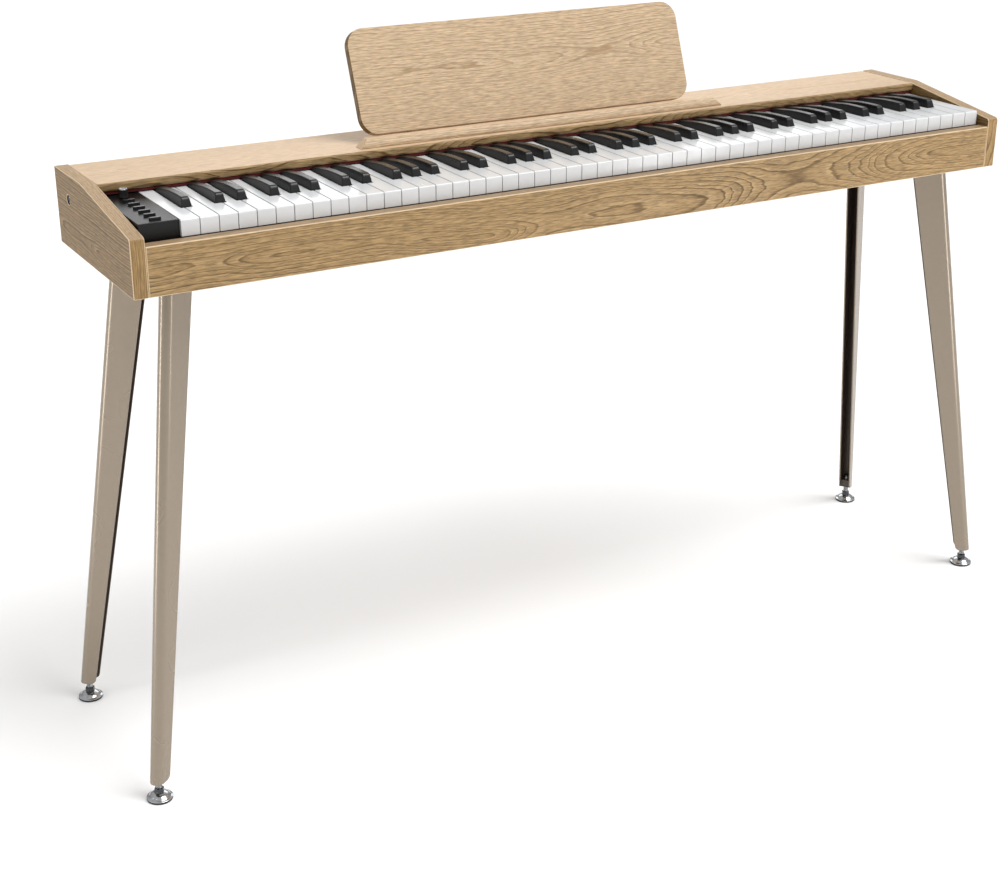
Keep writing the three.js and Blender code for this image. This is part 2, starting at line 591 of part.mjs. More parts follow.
function controlHousing() {
  const w = CONTROL_WIDTH / 2;
  const side = new THREE.Shape();
  side.moveTo(0, -CONTROL_HEIGHT);
  side.lineTo(controlDepth, -CONTROL_HEIGHT);
  side.lineTo(controlDepth, 0);
  side.lineTo(CONTROL_EDGE, 0);
  side.absarc(CONTROL_EDGE, -CONTROL_EDGE, CONTROL_EDGE, Math.PI / 2, Math.PI, false);
  const cavity = boxAt(-w + CONTROL_WALL, w - CONTROL_WALL, CONTROL_WALL, controlDepth - CONTROL_WALL,
    -CONTROL_HEIGHT - 1, -CONTROL_WALL);
  const slots = Array.from({ length: BUTTON_COUNT }, (_, i) => extrudeUp(
    stadium(BUTTON_LENGTH + 2 * BUTTON_CLEARANCE, BUTTON_WIDTH + 2 * BUTTON_CLEARANCE),
    -CONTROL_WALL - 1, CONTROL_WALL + 2, 2).translate(0, buttonY(i), 0));
  const spindleHole = cylinderUp(0, knobY, -CONTROL_WALL - 1, 1, KNOB_SPINDLE_RADIUS + BUTTON_CLEARANCE, 12);
  return combine(extrudeAlong(side, -w, CONTROL_WIDTH, 4), [], [cavity, ...slots, spindleHole]);
}

function button() {
  const capBottom = -CONTROL_WALL - 1.2;
  const cap = extrudeUp(stadium(BUTTON_LENGTH, BUTTON_WIDTH), capBottom, BUTTON_RISE - capBottom, 2);
  const flange = boxAt(-BUTTON_LENGTH / 2 - 1.5, BUTTON_LENGTH / 2 + 1.5, -BUTTON_WIDTH / 2 - 1.2,
    BUTTON_WIDTH / 2 + 1.2, -CONTROL_WALL - 1.8, -CONTROL_WALL - 0.4);
  return combine(cap, [flange]);
}

function knob() {
  return turned([
    [0, -CONTROL_WALL - 4], [KNOB_SPINDLE_RADIUS, -CONTROL_WALL - 4], [KNOB_SPINDLE_RADIUS, 0.8],
    [KNOB_RADIUS, 0.8], [KNOB_RADIUS - 0.2, KNOB_HEIGHT - 1], [KNOB_RADIUS - 1.2, KNOB_HEIGHT],
    [0, KNOB_HEIGHT],
  ], 24);
}

place(controls, 'control_housing', controlHousing(), PLASTIC_BLACK);
place(controls, 'volume_knob', knob(), KNOB_SILVER, [0, knobY, 0]);
for (let i = 0; i < BUTTON_COUNT; i += 1) {
  place(controls, `control_button_${i + 1}`, button(), PLASTIC_BLACK, [0, buttonY(i), 0]);
}

function mainBoard() {
  const z = floorBoardTop + SEAM;
  const standoffs = [[-70, -42], [70, -42], [-70, 42], [70, 42]]
    .map(([x, y]) => cylinderUp(x, y, z, z + 5, 3, 8));
  const board = boxAt(-MAIN_BOARD_WIDTH / 2, MAIN_BOARD_WIDTH / 2, -50, 50, z + 4, z + 5.6);
  const chips = [
    boxAt(-30, -2, -12, 16, z + 5, z + 8), boxAt(20, 40, -20, 0, z + 5, z + 8),
    cylinderUp(50, 25, z + 5, z + 14, 5, 12), cylinderUp(36, 25, z + 5, z + 14, 5, 12),
    boxAt(-60, -44, -35, 35, z + 5, z + 11),
  ];
  return combine(board, [...standoffs, ...chips]);
}

const mainBoardX = -SPEAKER_SPREAD / 2 - SPEAKER_RADIUS - MAIN_BOARD_GAP - MAIN_BOARD_WIDTH / 2;
place(caseGroup, 'main_circuit_board', mainBoard(), CIRCUIT_GREEN, [mainBoardX, 0, 0]);

// ---------- legs and levelling feet ----------
// A leg is drawn in its own upright plane: u points outward from the nose of its top end.
const legLength = caseBottom - SEAM - LEG_CLEARANCE;
const noseRadius = LEG_WIDTH / 2;
const footOffset = LEG_SPLAY - LEG_DEPTH_FOOT / 2;

function taper(geometry) {
  const position = geometry.attributes.position;
  for (let i = 0; i < position.count; i += 1) {
    const height = (position.getZ(i) - LEG_CLEARANCE) / legLength;
    const depth = LEG_DEPTH_FOOT + (LEG_DEPTH_TOP - LEG_DEPTH_FOOT) * height;
    const flange = Math.min(0, position.getX(i) + noseRadius);
    const u = position.getX(i) - flange + flange * (depth - noseRadius) / (LEG_DEPTH_TOP - noseRadius);
    position.setX(i, u + LEG_SPLAY * (1 - height));
  }
  return geometry;
}

function channelOutline(inner) {
  const shape = new THREE.Shape();
  shape.moveTo(-LEG_DEPTH_TOP, -noseRadius);
  shape.lineTo(-noseRadius, -noseRadius);
  shape.absarc(-noseRadius, 0, noseRadius, -Math.PI / 2, Math.PI / 2, false);
  shape.lineTo(-LEG_DEPTH_TOP, noseRadius);
  if (inner > 0) {
    shape.lineTo(-LEG_DEPTH_TOP, inner);
    shape.lineTo(-noseRadius, inner);
    shape.absarc(-noseRadius, 0, inner, Math.PI / 2, -Math.PI / 2, true);
    shape.lineTo(-LEG_DEPTH_TOP, -inner);
  }
  return shape;
}

function leg() {
  const channel = taper(extrudeUp(channelOutline(noseRadius - LEG_SHEET), LEG_CLEARANCE, legLength, 6));
  const plug = taper(extrudeUp(channelOutline(0), LEG_CLEARANCE, LEG_PLUG, 6));
  const top = LEG_CLEARANCE + legLength;
  const plate = boxAt(-LEG_DEPTH_TOP - LEG_PLATE_LENGTH, -noseRadius,
    -LEG_PLATE_WIDTH / 2, LEG_PLATE_WIDTH / 2, top - LEG_PLATE_THICKNESS, top);
  const bore = cylinderUp(footOffset, 0, LEG_CLEARANCE - 1, LEG_CLEARANCE + LEG_PLUG + 1,
    STUD_RADIUS + STUD_CLEARANCE, 16);
  return combine(channel, [plug, plate], [bore]);
}

function foot() {
  const nutTop = FOOT_PAD_HEIGHT + FOOT_NUT_HEIGHT;
  const studTop = LEG_CLEARANCE + LEG_PLUG + STUD_ABOVE_PLUG;
  return turned([
    [0, 0], [FOOT_RADIUS - 1, 0], [FOOT_RADIUS, 1], [FOOT_RADIUS, 3], [FOOT_RADIUS - 3, FOOT_PAD_HEIGHT - 3],
    [FOOT_NUT_RADIUS, FOOT_PAD_HEIGHT], [FOOT_NUT_RADIUS, nutTop], [STUD_RADIUS, nutTop],
    [STUD_RADIUS, studTop], [0, studTop],
  ], 18);
}

for (const [side, sx] of [['left', -1], ['right', 1]]) {
  for (const [end, sy] of [['front', -1], ['back', 1]]) {
    const corner = new THREE.Group();
    corner.position.set(sx * (innerWidth / 2 + PANEL_THICKNESS - LEG_INSET_X), sy * (backY - LEG_INSET_Y), 0);
    const heading = THREE.MathUtils.degToRad(LEG_HEADING);
    corner.rotation.z = Math.atan2(sy * Math.sin(heading), sx * Math.cos(heading));
    piano.add(corner);
    place(corner, `leg_${end}_${side}`, leg(), CHAMPAGNE);
    place(corner, `foot_${end}_${side}`, foot(), CHROME, [footOffset, 0, 0]);
  }
}

export default piano;
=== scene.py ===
import math

import bmesh
import bpy
from mathutils import Matrix, Vector


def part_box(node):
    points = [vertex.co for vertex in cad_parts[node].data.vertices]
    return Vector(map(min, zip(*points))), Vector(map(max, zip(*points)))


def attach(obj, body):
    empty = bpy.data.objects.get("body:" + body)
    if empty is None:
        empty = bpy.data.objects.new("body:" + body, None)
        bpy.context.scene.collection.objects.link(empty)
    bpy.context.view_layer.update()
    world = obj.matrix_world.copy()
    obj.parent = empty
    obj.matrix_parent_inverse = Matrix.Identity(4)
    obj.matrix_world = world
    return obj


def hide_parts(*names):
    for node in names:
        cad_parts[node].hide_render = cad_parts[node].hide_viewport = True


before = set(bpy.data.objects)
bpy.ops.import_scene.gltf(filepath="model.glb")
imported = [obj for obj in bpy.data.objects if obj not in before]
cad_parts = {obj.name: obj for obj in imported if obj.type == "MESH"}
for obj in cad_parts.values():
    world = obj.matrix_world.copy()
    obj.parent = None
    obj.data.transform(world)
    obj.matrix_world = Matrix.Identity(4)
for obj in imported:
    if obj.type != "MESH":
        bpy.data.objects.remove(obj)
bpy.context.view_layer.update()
scene = bpy.context.scene
MM = 0.001


def mm(points):
    """Points given in millimetres, in metres."""
    return [tuple(c * MM for c in point) for point in points]


def add_node(tree, kind):
    return tree.nodes.new("ShaderNode" + kind)


# ---------- camera and light ----------
def aim(ob, place, target):
    ob.location = Vector(place)
    ob.rotation_euler = (Vector(target) - ob.location).to_track_quat("-Z", "Y").to_euler()


CAMERA_PLACE = (-1.2249, -1.9763, 1.2586)
CAMERA_TARGET = (-0.1112, -0.0190, 0.3208)
camera_data = bpy.data.cameras.new("camera")
camera_data.lens = 62.6
camera_data.sensor_width = 36.0
camera_data.clip_end = 60.0
camera = bpy.data.objects.new("camera", camera_data)
scene.collection.objects.link(camera)
scene.camera = camera
aim(camera, CAMERA_PLACE, CAMERA_TARGET)

# name, place, target, width and height in metres, power in watts
SOFTBOXES = (
    ("back_softbox", (1.5, 2.9, 2.0), (0.1, 0.0, 0.7), (2.6, 1.4), 17.0),
    ("left_softbox", (-2.6, -1.2, 1.5), (-0.2, 0.0, 0.5), (0.9, 1.8), 4.0),
    ("right_strip", (1.00, -1.40, 0.42), (0.63, -0.10, 0.36), (0.18, 0.84), 4.0),
    ("left_strip", (-1.85, 0.10, 0.42), (-0.62, -0.10, 0.36), (0.20, 0.84), 4.0),
)
for name, place, target, size, power in SOFTBOXES:
    data = bpy.data.lights.new(name, "AREA")
    data.shape = "RECTANGLE"
    data.size, data.size_y = size
    data.energy = power
    softbox = bpy.data.objects.new(name, data)
    softbox.visible_camera = False
    scene.collection.objects.link(softbox)
    aim(softbox, place, target)

sun_data = bpy.data.lights.new("key_sun", "SUN")
sun_data.energy = 2.25
sun_data.angle = math.radians(36)
sun = bpy.data.objects.new("key_sun", sun_data)
scene.collection.objects.link(sun)
aim(sun, (1.25, -1.15, 2.9), (0.0, 0.0, 0.0))

# The studio is dim near the horizon and bright overhead, which gives gloss its contrast.
# The camera itself sees a white backdrop in its place.
HORIZON = (0.47, 0.475, 0.48, 1.0)
OVERHEAD = (1.0, 1.0, 1.0, 1.0)
world = bpy.data.worlds.new("studio")
scene.world = world
world.use_nodes = True
sky = world.node_tree
direction = add_node(sky, "TexCoord")
height = add_node(sky, "SeparateXYZ")
sky.links.new(direction.outputs["Generated"], height.inputs[0])
fade = add_node(sky, "ValToRGB")
sky.links.new(height.outputs["Z"], fade.inputs[0])
for element, position, colour in zip(fade.color_ramp.elements, (0.02, 0.55), (HORIZON, OVERHEAD)):
    element.position = position
    element.color = colour
sky.links.new(fade.outputs["Color"], sky.nodes["Background"].inputs["Color"])
sky.nodes["Background"].inputs["Strength"].default_value = 0.63
backdrop = add_node(sky, "Background")
rays = add_node(sky, "LightPath")
seen = add_node(sky, "MixShader")
sky.links.new(rays.outputs["Is Camera Ray"], seen.inputs[0])
sky.links.new(sky.nodes["Background"].outputs[0], seen.inputs[1])
sky.links.new(backdrop.outputs[0], seen.inputs[2])
sky.links.new(seen.outputs[0], sky.nodes["World Output"].inputs["Surface"])
backdrop.inputs["Color"].default_value = (1.0, 1.0, 1.0, 1.0)
scene.view_settings.view_transform = "Standard"


# ---------- material nodes ----------
def scaled(colour, k):
    return tuple(k * c for c in colour)


class Look:
    """A Principled material, with short calls that add its nodes."""

    def __init__(self, name, **sockets):
        self.mat = bpy.data.materials.new(name)
        self.mat.use_nodes = True
        self.tree = self.mat.node_tree
        self.shader = self.tree.nodes["Principled BSDF"]
        for socket, value in sockets.items():
            self.shader.inputs[socket.replace("_", " ")].default_value = value
        self.place = add_node(self.tree, "TexCoord").outputs["Object"]

    def put(self, socket, value):
        if isinstance(value, bpy.types.NodeSocket):
            self.tree.links.new(value, socket)
        elif isinstance(value, tuple) and len(value) == 3 and socket.type == "RGBA":
            socket.default_value = (*value, 1.0)
        else:
            socket.default_value = value

    def fill(self, node, values):
        for socket, value in zip(node.inputs, values):
            self.put(socket, value)

    def math(self, kind, *values):
        node = add_node(self.tree, "Math")
        node.operation = kind
        self.fill(node, values)
        return node.outputs[0]

    def times(self, a, b):
        return self.math("MULTIPLY", a, b)

    def plus(self, a, b):
        return self.math("ADD", a, b)

    def minus(self, a, b):
        return self.math("SUBTRACT", a, b)

    def spread(self, noise, a, b, reach=(0.3, 0.7)):
        """Goes from a to b as the noise goes across its middle range."""
        return self.mix(self.remap(noise, *reach, 0.0, 1.0), a, b)

    def split(self, vector):
        node = add_node(self.tree, "SeparateXYZ")
        self.put(node.inputs[0], vector)
        return node.outputs

    def join(self, x, y, z):
        node = add_node(self.tree, "CombineXYZ")
        self.fill(node, (x, y, z))
        return node.outputs[0]

    def stretched(self, scale):
        node = add_node(self.tree, "Mapping")
        self.put(node.inputs["Vector"], self.place)
        node.inputs["Scale"].default_value = scale
        return node.outputs[0]

    def noise(self, vector, scale=1.0, detail=2.0, roughness=0.5):
        node = add_node(self.tree, "TexNoise")
        self.put(node.inputs["Vector"], vector)
        for socket, value in (("Scale", scale), ("Detail", detail), ("Roughness", roughness)):
            node.inputs[socket].default_value = value
        return node.outputs["Fac"]

    def cells(self, vector, scale):
        node = add_node(self.tree, "TexVoronoi")
        self.put(node.inputs["Vector"], vector)
        node.inputs["Scale"].default_value = scale
        return node.outputs["Distance"]

    def ramp(self, value, stops):
        node = add_node(self.tree, "ValToRGB")
        self.put(node.inputs[0], value)
        elements = node.color_ramp.elements
        while len(elements) < len(stops):
            elements.new(0.5)
        for element, (position, colour) in zip(elements, stops):
            element.position = position
            rgb = colour if isinstance(colour, tuple) else (colour, colour, colour)
            element.color = (*rgb, 1.0)
        return node.outputs["Color"]

    def remap(self, value, low, high, new_low, new_high):
        node = add_node(self.tree, "MapRange")
        self.fill(node, (value, low, high, new_low, new_high))
        return node.outputs[0]

    def mix(self, share, a, b, kind="MIX"):
        node = add_node(self.tree, "Mix")
        node.data_type = "RGBA"
        node.blend_type = kind
        self.put(node.inputs[0], share)
        self.put(node.inputs[6], a)
        self.put(node.inputs[7], b)
        return node.outputs[2]

    def bump(self, height, strength, depth):
        node = add_node(self.tree, "Bump")
        node.inputs["Strength"].default_value = strength
        node.inputs["Distance"].default_value = depth
        self.put(node.inputs["Height"], height)
        self.put(self.shader.inputs["Normal"], node.outputs[0])

    def colour(self, value):
        self.put(self.shader.inputs["Base Color"], value)

    def rough(self, value):
        self.put(self.shader.inputs["Roughness"], value)


def oak(name, along, tones, heart, ring=3.6 * MM, wander=0.03, seed=0.0, contrast=1.0, crest=None):
    """Plain-sawn oak laminate: rings round a drifting heart line, pores, flecks and slow tone changes."""
    light, mid, dark = tones
    ring_tones = [(0.0, light), (0.40, mid), (0.70, mid), (0.84, dark), (0.93, dark), (1.0, light)]
    look = Look(name, Coat_Weight=0.05, Coat_Roughness=0.4, Specular_IOR_Level=0.28)
    x, y, z = look.split(look.place)
    u, v, w = {"X": (x, y, z), "Y": (y, x, z), "Z": (z, x, y)}[along]

    def drift(frequency, shift):
        slow = look.noise(look.join(look.times(u, frequency), seed + shift, 0.5), 1.0, 1.0)
        return look.times(look.minus(slow, 0.5), 2 * wander)

    def streaks(along_scale, across_scale, detail=2.0, shift=0.0):
        vector = look.join(
            look.plus(look.times(u, along_scale), seed + shift),
            look.times(v, across_scale),
            look.times(w, across_scale),
        )
        return look.noise(vector, 1.0, detail)

    a = look.plus(look.minus(v, heart[0]), drift(3.4, 0.0))
    b = look.plus(look.minus(w, heart[1]), drift(2.1, 9.0))
    if crest:
        middle, width, depth = crest
        reach = look.times(look.minus(u, middle), 1.0 / width)
        swell = look.math("EXPONENT", look.times(look.times(reach, reach), -1.0))
        a = look.minus(a, look.times(swell, depth))
    square = look.plus(look.times(a, a), look.times(b, b))
    radius = look.math("SQRT", square)
    wobble = look.times(look.minus(streaks(16.0, 110.0, 3.0), 0.5), 1.1 * ring)
    rings = look.math("DIVIDE", look.plus(radius, wobble), ring)
    uneven = look.noise(look.join(look.times(rings, 0.35), seed, 0.0), 1.0, 1.0)
    rings = look.plus(rings, look.times(uneven, 2.2))
    band = look.math("FRACT", rings)
    grain = look.ramp(band, ring_tones)
    tone = look.mix(look.remap(streaks(1.6, 16.0, 2.0, 4.0), 0.3, 0.7, 0.35, 1.0 * contrast), mid, grain)
    fleck = streaks(75.0, 760.0, 3.0, 2.0)
    fleck = look.remap(fleck, 0.32, 0.68, 1.0 - 0.34 * contrast, 1.0 + 0.22 * contrast)
    tone = look.mix(1.0, tone, look.join(fleck, fleck, fleck), "MULTIPLY")
    pores = look.remap(streaks(60.0, 1500.0, 1.0, 6.0), 0.60, 0.70, 0.0, 1.0)
    early = look.remap(band, 0.05, 0.6, 1.0, 0.35)
    pores = look.times(pores, early)
    slow = look.remap(streaks(0.8, 5.0, 1.0, 8.0), 0.3, 0.7, 0.93, 1.05)
    tone = look.mix(1.0, tone, look.join(slow, slow, slow), "MULTIPLY")
    look.colour(look.mix(look.times(pores, 0.50), tone, scaled(dark, 0.45)))
    look.rough(look.remap(look.plus(band, pores), 0.0, 1.6, 0.40, 0.60))
    look.bump(look.plus(look.times(pores, -1.0), look.times(band, 0.25)), 0.5, 0.12 * MM)
    return look.mat


OAK_TONES = ((0.445, 0.300, 0.142), (0.355, 0.228, 0.100), (0.150, 0.085, 0.030))
REST_TONES = ((0.680, 0.515, 0.345), (0.590, 0.430, 0.270), (0.370, 0.238, 0.125))
# A lighter copy of the oak for the lid and the ledge: painted light and sheen from above.
LIT_TOP_TONES = ((0.700, 0.525, 0.355), (0.640, 0.465, 0.300), (0.500, 0.335, 0.190))
# A darker copy of the oak: painted shade on the end panels' outer sides. The music rest's side edges use it
# too.
SHADED_SIDE_TONES = ((0.272, 0.170, 0.060), (0.205, 0.120, 0.038), (0.078, 0.040, 0.012))
SLOPE_TONES = ((0.500, 0.352, 0.205), (0.420, 0.285, 0.158), (0.250, 0.152, 0.070))
BAND_TONES = ((0.470, 0.310, 0.140), (0.350, 0.216, 0.086), (0.140, 0.076, 0.026))
# A darker copy of the oak: painted shade on the front rail's top, in front of the keys.
SHADE_TONES = ((0.400, 0.285, 0.170), (0.330, 0.225, 0.130), (0.235, 0.150, 0.080))
# A lighter copy of the oak for the narrow bevels along the edges: painted highlight lines.
EDGE_HIGHLIGHT_TONES = ((0.760, 0.600, 0.400), (0.700, 0.530, 0.335), (0.580, 0.415, 0.240))


def moulded(name, base, roughness, grain=1400.0, depth=0.03 * MM, **sockets):
    """Moulded plastic: fine spark-eroded grain, faint mottling and handling smears in the gloss."""
    look = Look(name, **sockets)
    mottle = look.noise(look.place, 35.0, 4.0)
    look.colour(look.spread(mottle, base, tuple(c * 1.25 + 0.002 for c in base), (0.35, 0.65)))
    smear = look.noise(look.stretched((12.0, 5.0, 12.0)), 1.0, 3.0)
    look.rough(look.remap(smear, 0.3, 0.7, roughness - 0.05, roughness + 0.07))
    look.bump(look.noise(look.place, grain, 2.0), 0.35, depth)
    return look.mat


def painted(name, base, roughness, metallic):
    """Metallic powder paint: small flakes, slight orange peel and slow shade changes."""
    look = Look(name, Metallic=metallic, Coat_Weight=0.05, Coat_Roughness=0.30)
    flake = look.remap(look.noise(look.place, 150.0, 2.0), 0.35, 0.65, 0.985, 1.015)
    tone = look.mix(look.noise(look.stretched((6.0, 6.0, 1.5)), 1.0, 2.0), scaled(base, 0.93),
                    scaled(base, 1.06))
    look.colour(look.mix(1.0, tone, look.join(flake, flake, flake), "MULTIPLY"))
    look.rough(look.remap(look.noise(look.place, 12.0, 1.0), 0.1, 0.9, roughness - 0.03, roughness + 0.04))
    look.bump(look.noise(look.place, 70.0, 1.0), 0.02, 0.03 * MM)
    return look.mat


def metal(name, base, roughness, brushed=(200.0, 200.0, 200.0)):
    """Bare or plated metal: fine brushing or polishing marks, with duller specks."""
    look = Look(name, Metallic=1.0)
    marks = look.noise(look.stretched(brushed), 1.0, 3.0)
    look.colour(look.spread(marks, base, scaled(base, 0.8)))
    specks = look.noise(look.place, 90.0, 4.0)
    look.rough(look.remap(specks, 0.3, 0.75, roughness, roughness + 0.14))
    look.bump(marks, 0.12, 0.02 * MM)
    return look.mat


def felted(name, base):
    """Pressed wool felt: fibres at two scales, with a soft sheen."""
    look = Look(name, Roughness=0.95, Sheen_Weight=0.12, Sheen_Roughness=0.5)
    fibre = look.noise(look.stretched((900.0, 2200.0, 2200.0)), 1.0, 4.0, 0.7)
    clump = look.noise(look.place, 260.0, 3.0)
    tone = look.spread(fibre, scaled(base, 0.55), scaled(base, 1.5))
    look.colour(look.mix(look.remap(clump, 0.35, 0.65, 0.0, 0.35), tone, scaled(base, 0.7)))
    look.bump(fibre, 0.8, 0.3 * MM)
    return look.mat


def key_plastic(name):
    """Glossy white key cap: a faint warm mottling and finger smears in the gloss. The grey along its side
    edges is painted shade, from a second material.
    """
    look = Look(name, Coat_Weight=0.12, Coat_Roughness=0.10, IOR=1.38)
    mottle = look.noise(look.stretched((20.0, 5.0, 20.0)), 1.0, 3.0)
    look.colour(look.spread(mottle, (0.735, 0.745, 0.755), (0.690, 0.697, 0.702)))
    smear = look.noise(look.stretched((45.0, 14.0, 45.0)), 1.0, 4.0)
    look.rough(look.remap(smear, 0.30, 0.75, 0.13, 0.30))
    look.bump(look.noise(look.place, 500.0, 2.0), 0.10, 0.02 * MM)
    return look.mat


def black_cap(name):
    """Satin black key: fine matt texture, rubbed a little smoother along the top by fingers."""
    look = Look(name, IOR=1.42)
    mottle = look.noise(look.stretched((60.0, 12.0, 60.0)), 1.0, 4.0)
    look.colour(look.spread(mottle, (0.006, 0.006, 0.007), (0.013, 0.013, 0.014)))
    height = look.remap(look.split(look.place)[2], 0.738, 0.7465, 0.40, 0.24)
    wear = look.remap(mottle, 0.3, 0.7, -0.03, 0.05)
    look.rough(look.plus(height, wear))
    look.bump(look.noise(look.place, 1700.0, 2.0), 0.30, 0.03 * MM)
    return look.mat


def circuit(name):
    """Green solder resist over copper tracks, with rows of small solder points."""
    look = Look(name, Coat_Weight=0.3, Coat_Roughness=0.2)
    x, y, z = look.split(look.place)
    rows = look.math("PINGPONG", look.times(y, 160.0), 0.5)
    columns = look.math("PINGPONG", look.times(x, 90.0), 0.5)
    track = look.math("LESS_THAN", look.math("ABSOLUTE", look.minus(rows, 0.25)), 0.06)
    pads = look.math("LESS_THAN", look.cells(look.stretched((1.0, 1.0, 0.0)), 170.0), 0.22)
    tone = look.mix(look.times(track, look.math("GREATER_THAN", columns, 0.12)),
                    (0.012, 0.085, 0.035), (0.030, 0.170, 0.065))
    look.colour(look.mix(pads, tone, (0.45, 0.42, 0.38)))
    look.rough(look.remap(look.noise(look.place, 120.0, 2.0), 0.3, 0.7, 0.30, 0.45))
    look.bump(pads, 0.4, 0.2 * MM)
    return look.mat


def paper(name):
    """Pressed paper cone: radial fibre and concentric ridges."""
    look = Look(name)
    fibre = look.noise(look.place, 700.0, 4.0, 0.7)
    look.colour(look.spread(fibre, (0.016, 0.015, 0.014), (0.040, 0.037, 0.034)))
    look.rough(look.remap(fibre, 0.3, 0.7, 0.75, 0.95))
    look.bump(fibre, 0.6, 0.15 * MM)
    return look.mat


# heart: where the log's heart line lies across the other two axes, in metres
oak_rail = oak("oak_rail", "X", OAK_TONES, (-0.128, 0.684), ring=4.2 * MM, wander=0.04, seed=3.1,
               contrast=1.1, crest=(0.33, 0.15, 0.050))
oak_top_lit = oak("oak_top_lit", "X", LIT_TOP_TONES, (0.08, 0.735), ring=3.4 * MM, seed=11.7, contrast=0.55)
oak_rest = oak("oak_rest", "X", REST_TONES, (0.075, 0.84), wander=0.04, seed=23.4, contrast=0.85)
oak_side = oak("oak_side", "Y", SHADED_SIDE_TONES, (-0.64, 0.69), ring=3.8 * MM, wander=0.035, seed=31.9)
oak_side_right = oak("oak_side_right", "Y", SHADED_SIDE_TONES, (0.64, 0.69), ring=3.8 * MM, wander=0.035, seed=37.2)
oak_band = oak("oak_band", "Z", BAND_TONES, (0.60, 0.10), ring=2.6 * MM, seed=43.0, contrast=0.8)
oak_slope = oak("oak_slope", "Y", SLOPE_TONES, (0.60, 0.70), ring=3.0 * MM, seed=47.0, contrast=0.8)
oak_edge = oak("oak_edge", "Z", SHADED_SIDE_TONES, (0.30, 0.10), ring=2.2 * MM, seed=53.0, contrast=0.7)
oak_back = oak("oak_back", "X", REST_TONES, (0.152, 0.70), seed=61.0)
oak_rail_top_shade = oak("oak_rail_top_shade", "X", SHADE_TONES, (-0.128, 0.73), seed=67.0, contrast=0.6)
oak_edge_highlight = oak("oak_edge_painted_highlight", "X", EDGE_HIGHLIGHT_TONES, (0.30, 0.10), seed=71.0, contrast=0.4)
white_plastic = key_plastic("key_white")
# Grey for the white keys' side bevels: painted shade in the gaps between the keys.
key_gap_shade = moulded("key_gap_shade", (0.330, 0.330, 0.322), 0.55, 900.0)
black_plastic = black_cap("key_black")
champagne = painted("champagne_paint", (0.300, 0.248, 0.192), 0.26, 0.60)
# Dark brown for the inside of the leg channels and the plugs in their ends: painted shade.
leg_shade = painted("leg_inside_shade", (0.070, 0.050, 0.038), 0.50, 0.2)
chrome = metal("foot_chrome", (0.52, 0.53, 0.545), 0.06)
zinc = metal("zinc_plate", (0.56, 0.57, 0.59), 0.24)
black_nut = metal("foot_nut", (0.085, 0.085, 0.090), 0.22)
steel = metal("pin_steel", (0.42, 0.43, 0.45), 0.25, (90.0, 90.0, 900.0))
housing_plastic = moulded("housing_plastic", (0.0045, 0.0045, 0.005), 0.30, Specular_IOR_Level=0.30)
button_plastic = moulded("button_plastic", (0.014, 0.014, 0.015), 0.26)
frame_plastic = moulded("frame_plastic", (0.060, 0.060, 0.064), 0.55, 900.0)
socket_plastic = moulded("socket_plastic", (0.007, 0.007, 0.008), 0.50)
rubber = moulded("rubber_surround", (0.012, 0.012, 0.012), 0.70, 600.0, 0.06 * MM)
knob_silver = metal("knob_silver", (0.50, 0.51, 0.54), 0.20, (500.0, 500.0, 60.0))
felt_red = felted("felt_red", (0.110, 0.006, 0.005))
felt_grey = felted("felt_grey", (0.085, 0.078, 0.070))
circuit_green = circuit("circuit_board")
cone_paper = paper("speaker_cone")


# ---------- shapes ----------
def mesh_piece(name, vertices, faces, materials, numbers=None):
    data = bpy.data.meshes.new(name)
    data.from_pydata([tuple(v) for v in vertices], [], faces)
    if numbers:
        data.polygons.foreach_set("material_index", numbers)
    bm = bmesh.new()
    bm.from_mesh(data)
    bmesh.ops.remove_doubles(bm, verts=bm.verts, dist=1e-7)
    bmesh.ops.recalc_face_normals(bm, faces=bm.faces)
    bm.to_mesh(data)
    bm.free()
    ob = bpy.data.objects.new(name, data)
    scene.collection.objects.link(ob)
    for material in materials:
        data.materials.append(material)
    return ob


def shade(ob, sharp_above=40.0):
    """Smooth faces, with an edge kept sharp where its faces turn by more than the angle."""
    bm = bmesh.new()
    bm.from_mesh(ob.data)
    limit = math.radians(sharp_above)
    for face in bm.faces:
        face.smooth = True
    for edge in bm.edges:
        edge.smooth = len(edge.link_faces) == 2 and edge.calc_face_angle(math.pi) < limit
    bm.to_mesh(ob.data)
    bm.free()
    return ob


def soften(ob, width, segments=3, angle=35.0, line=-1):
    """Rounded edges on every corner sharper than the angle, with flat faces that stay flat."""
    for face in ob.data.polygons:
        face.use_smooth = True
    edges = ob.modifiers.new("edges", "BEVEL")
    edges.width = width
    edges.segments = segments
    edges.limit_method = "ANGLE"
    edges.angle_limit = math.radians(angle)
    edges.use_clamp_overlap = True
    # line: the material number for the bevels, or -1 to take the next face's; a lighter one there is a
    # painted highlight.
    edges.material = line
    ob.modifiers.new("normals", "WEIGHTED_NORMAL").keep_sharp = False
    return ob


def prism_faces(n):
    """Two ends of n corners, and the sides between them."""
    sides = [(i, (i + 1) % n, n + (i + 1) % n, n + i) for i in range(n)]
    return [tuple(range(n)), tuple(range(2 * n - 1, n - 1, -1))] + sides


def prism(name, outline, axis, low, high, materials):
    """A straight piece: the outline's two numbers are the other two axes, in the order X, Y, Z."""
    def at(p, q, t):
        return {"X": (t, p, q), "Y": (p, t, q), "Z": (p, q, t)}[axis]
    vertices = [at(p, q, t) for t in (low, high) for p, q in outline]
    return mesh_piece(name, vertices, prism_faces(len(outline)), materials)


def block(name, x, y, z, materials):
    outline = [(x[0], y[0]), (x[1], y[0]), (x[1], y[1]), (x[0], y[1])]
    return prism(name, outline, "Z", z[0], z[1], materials)


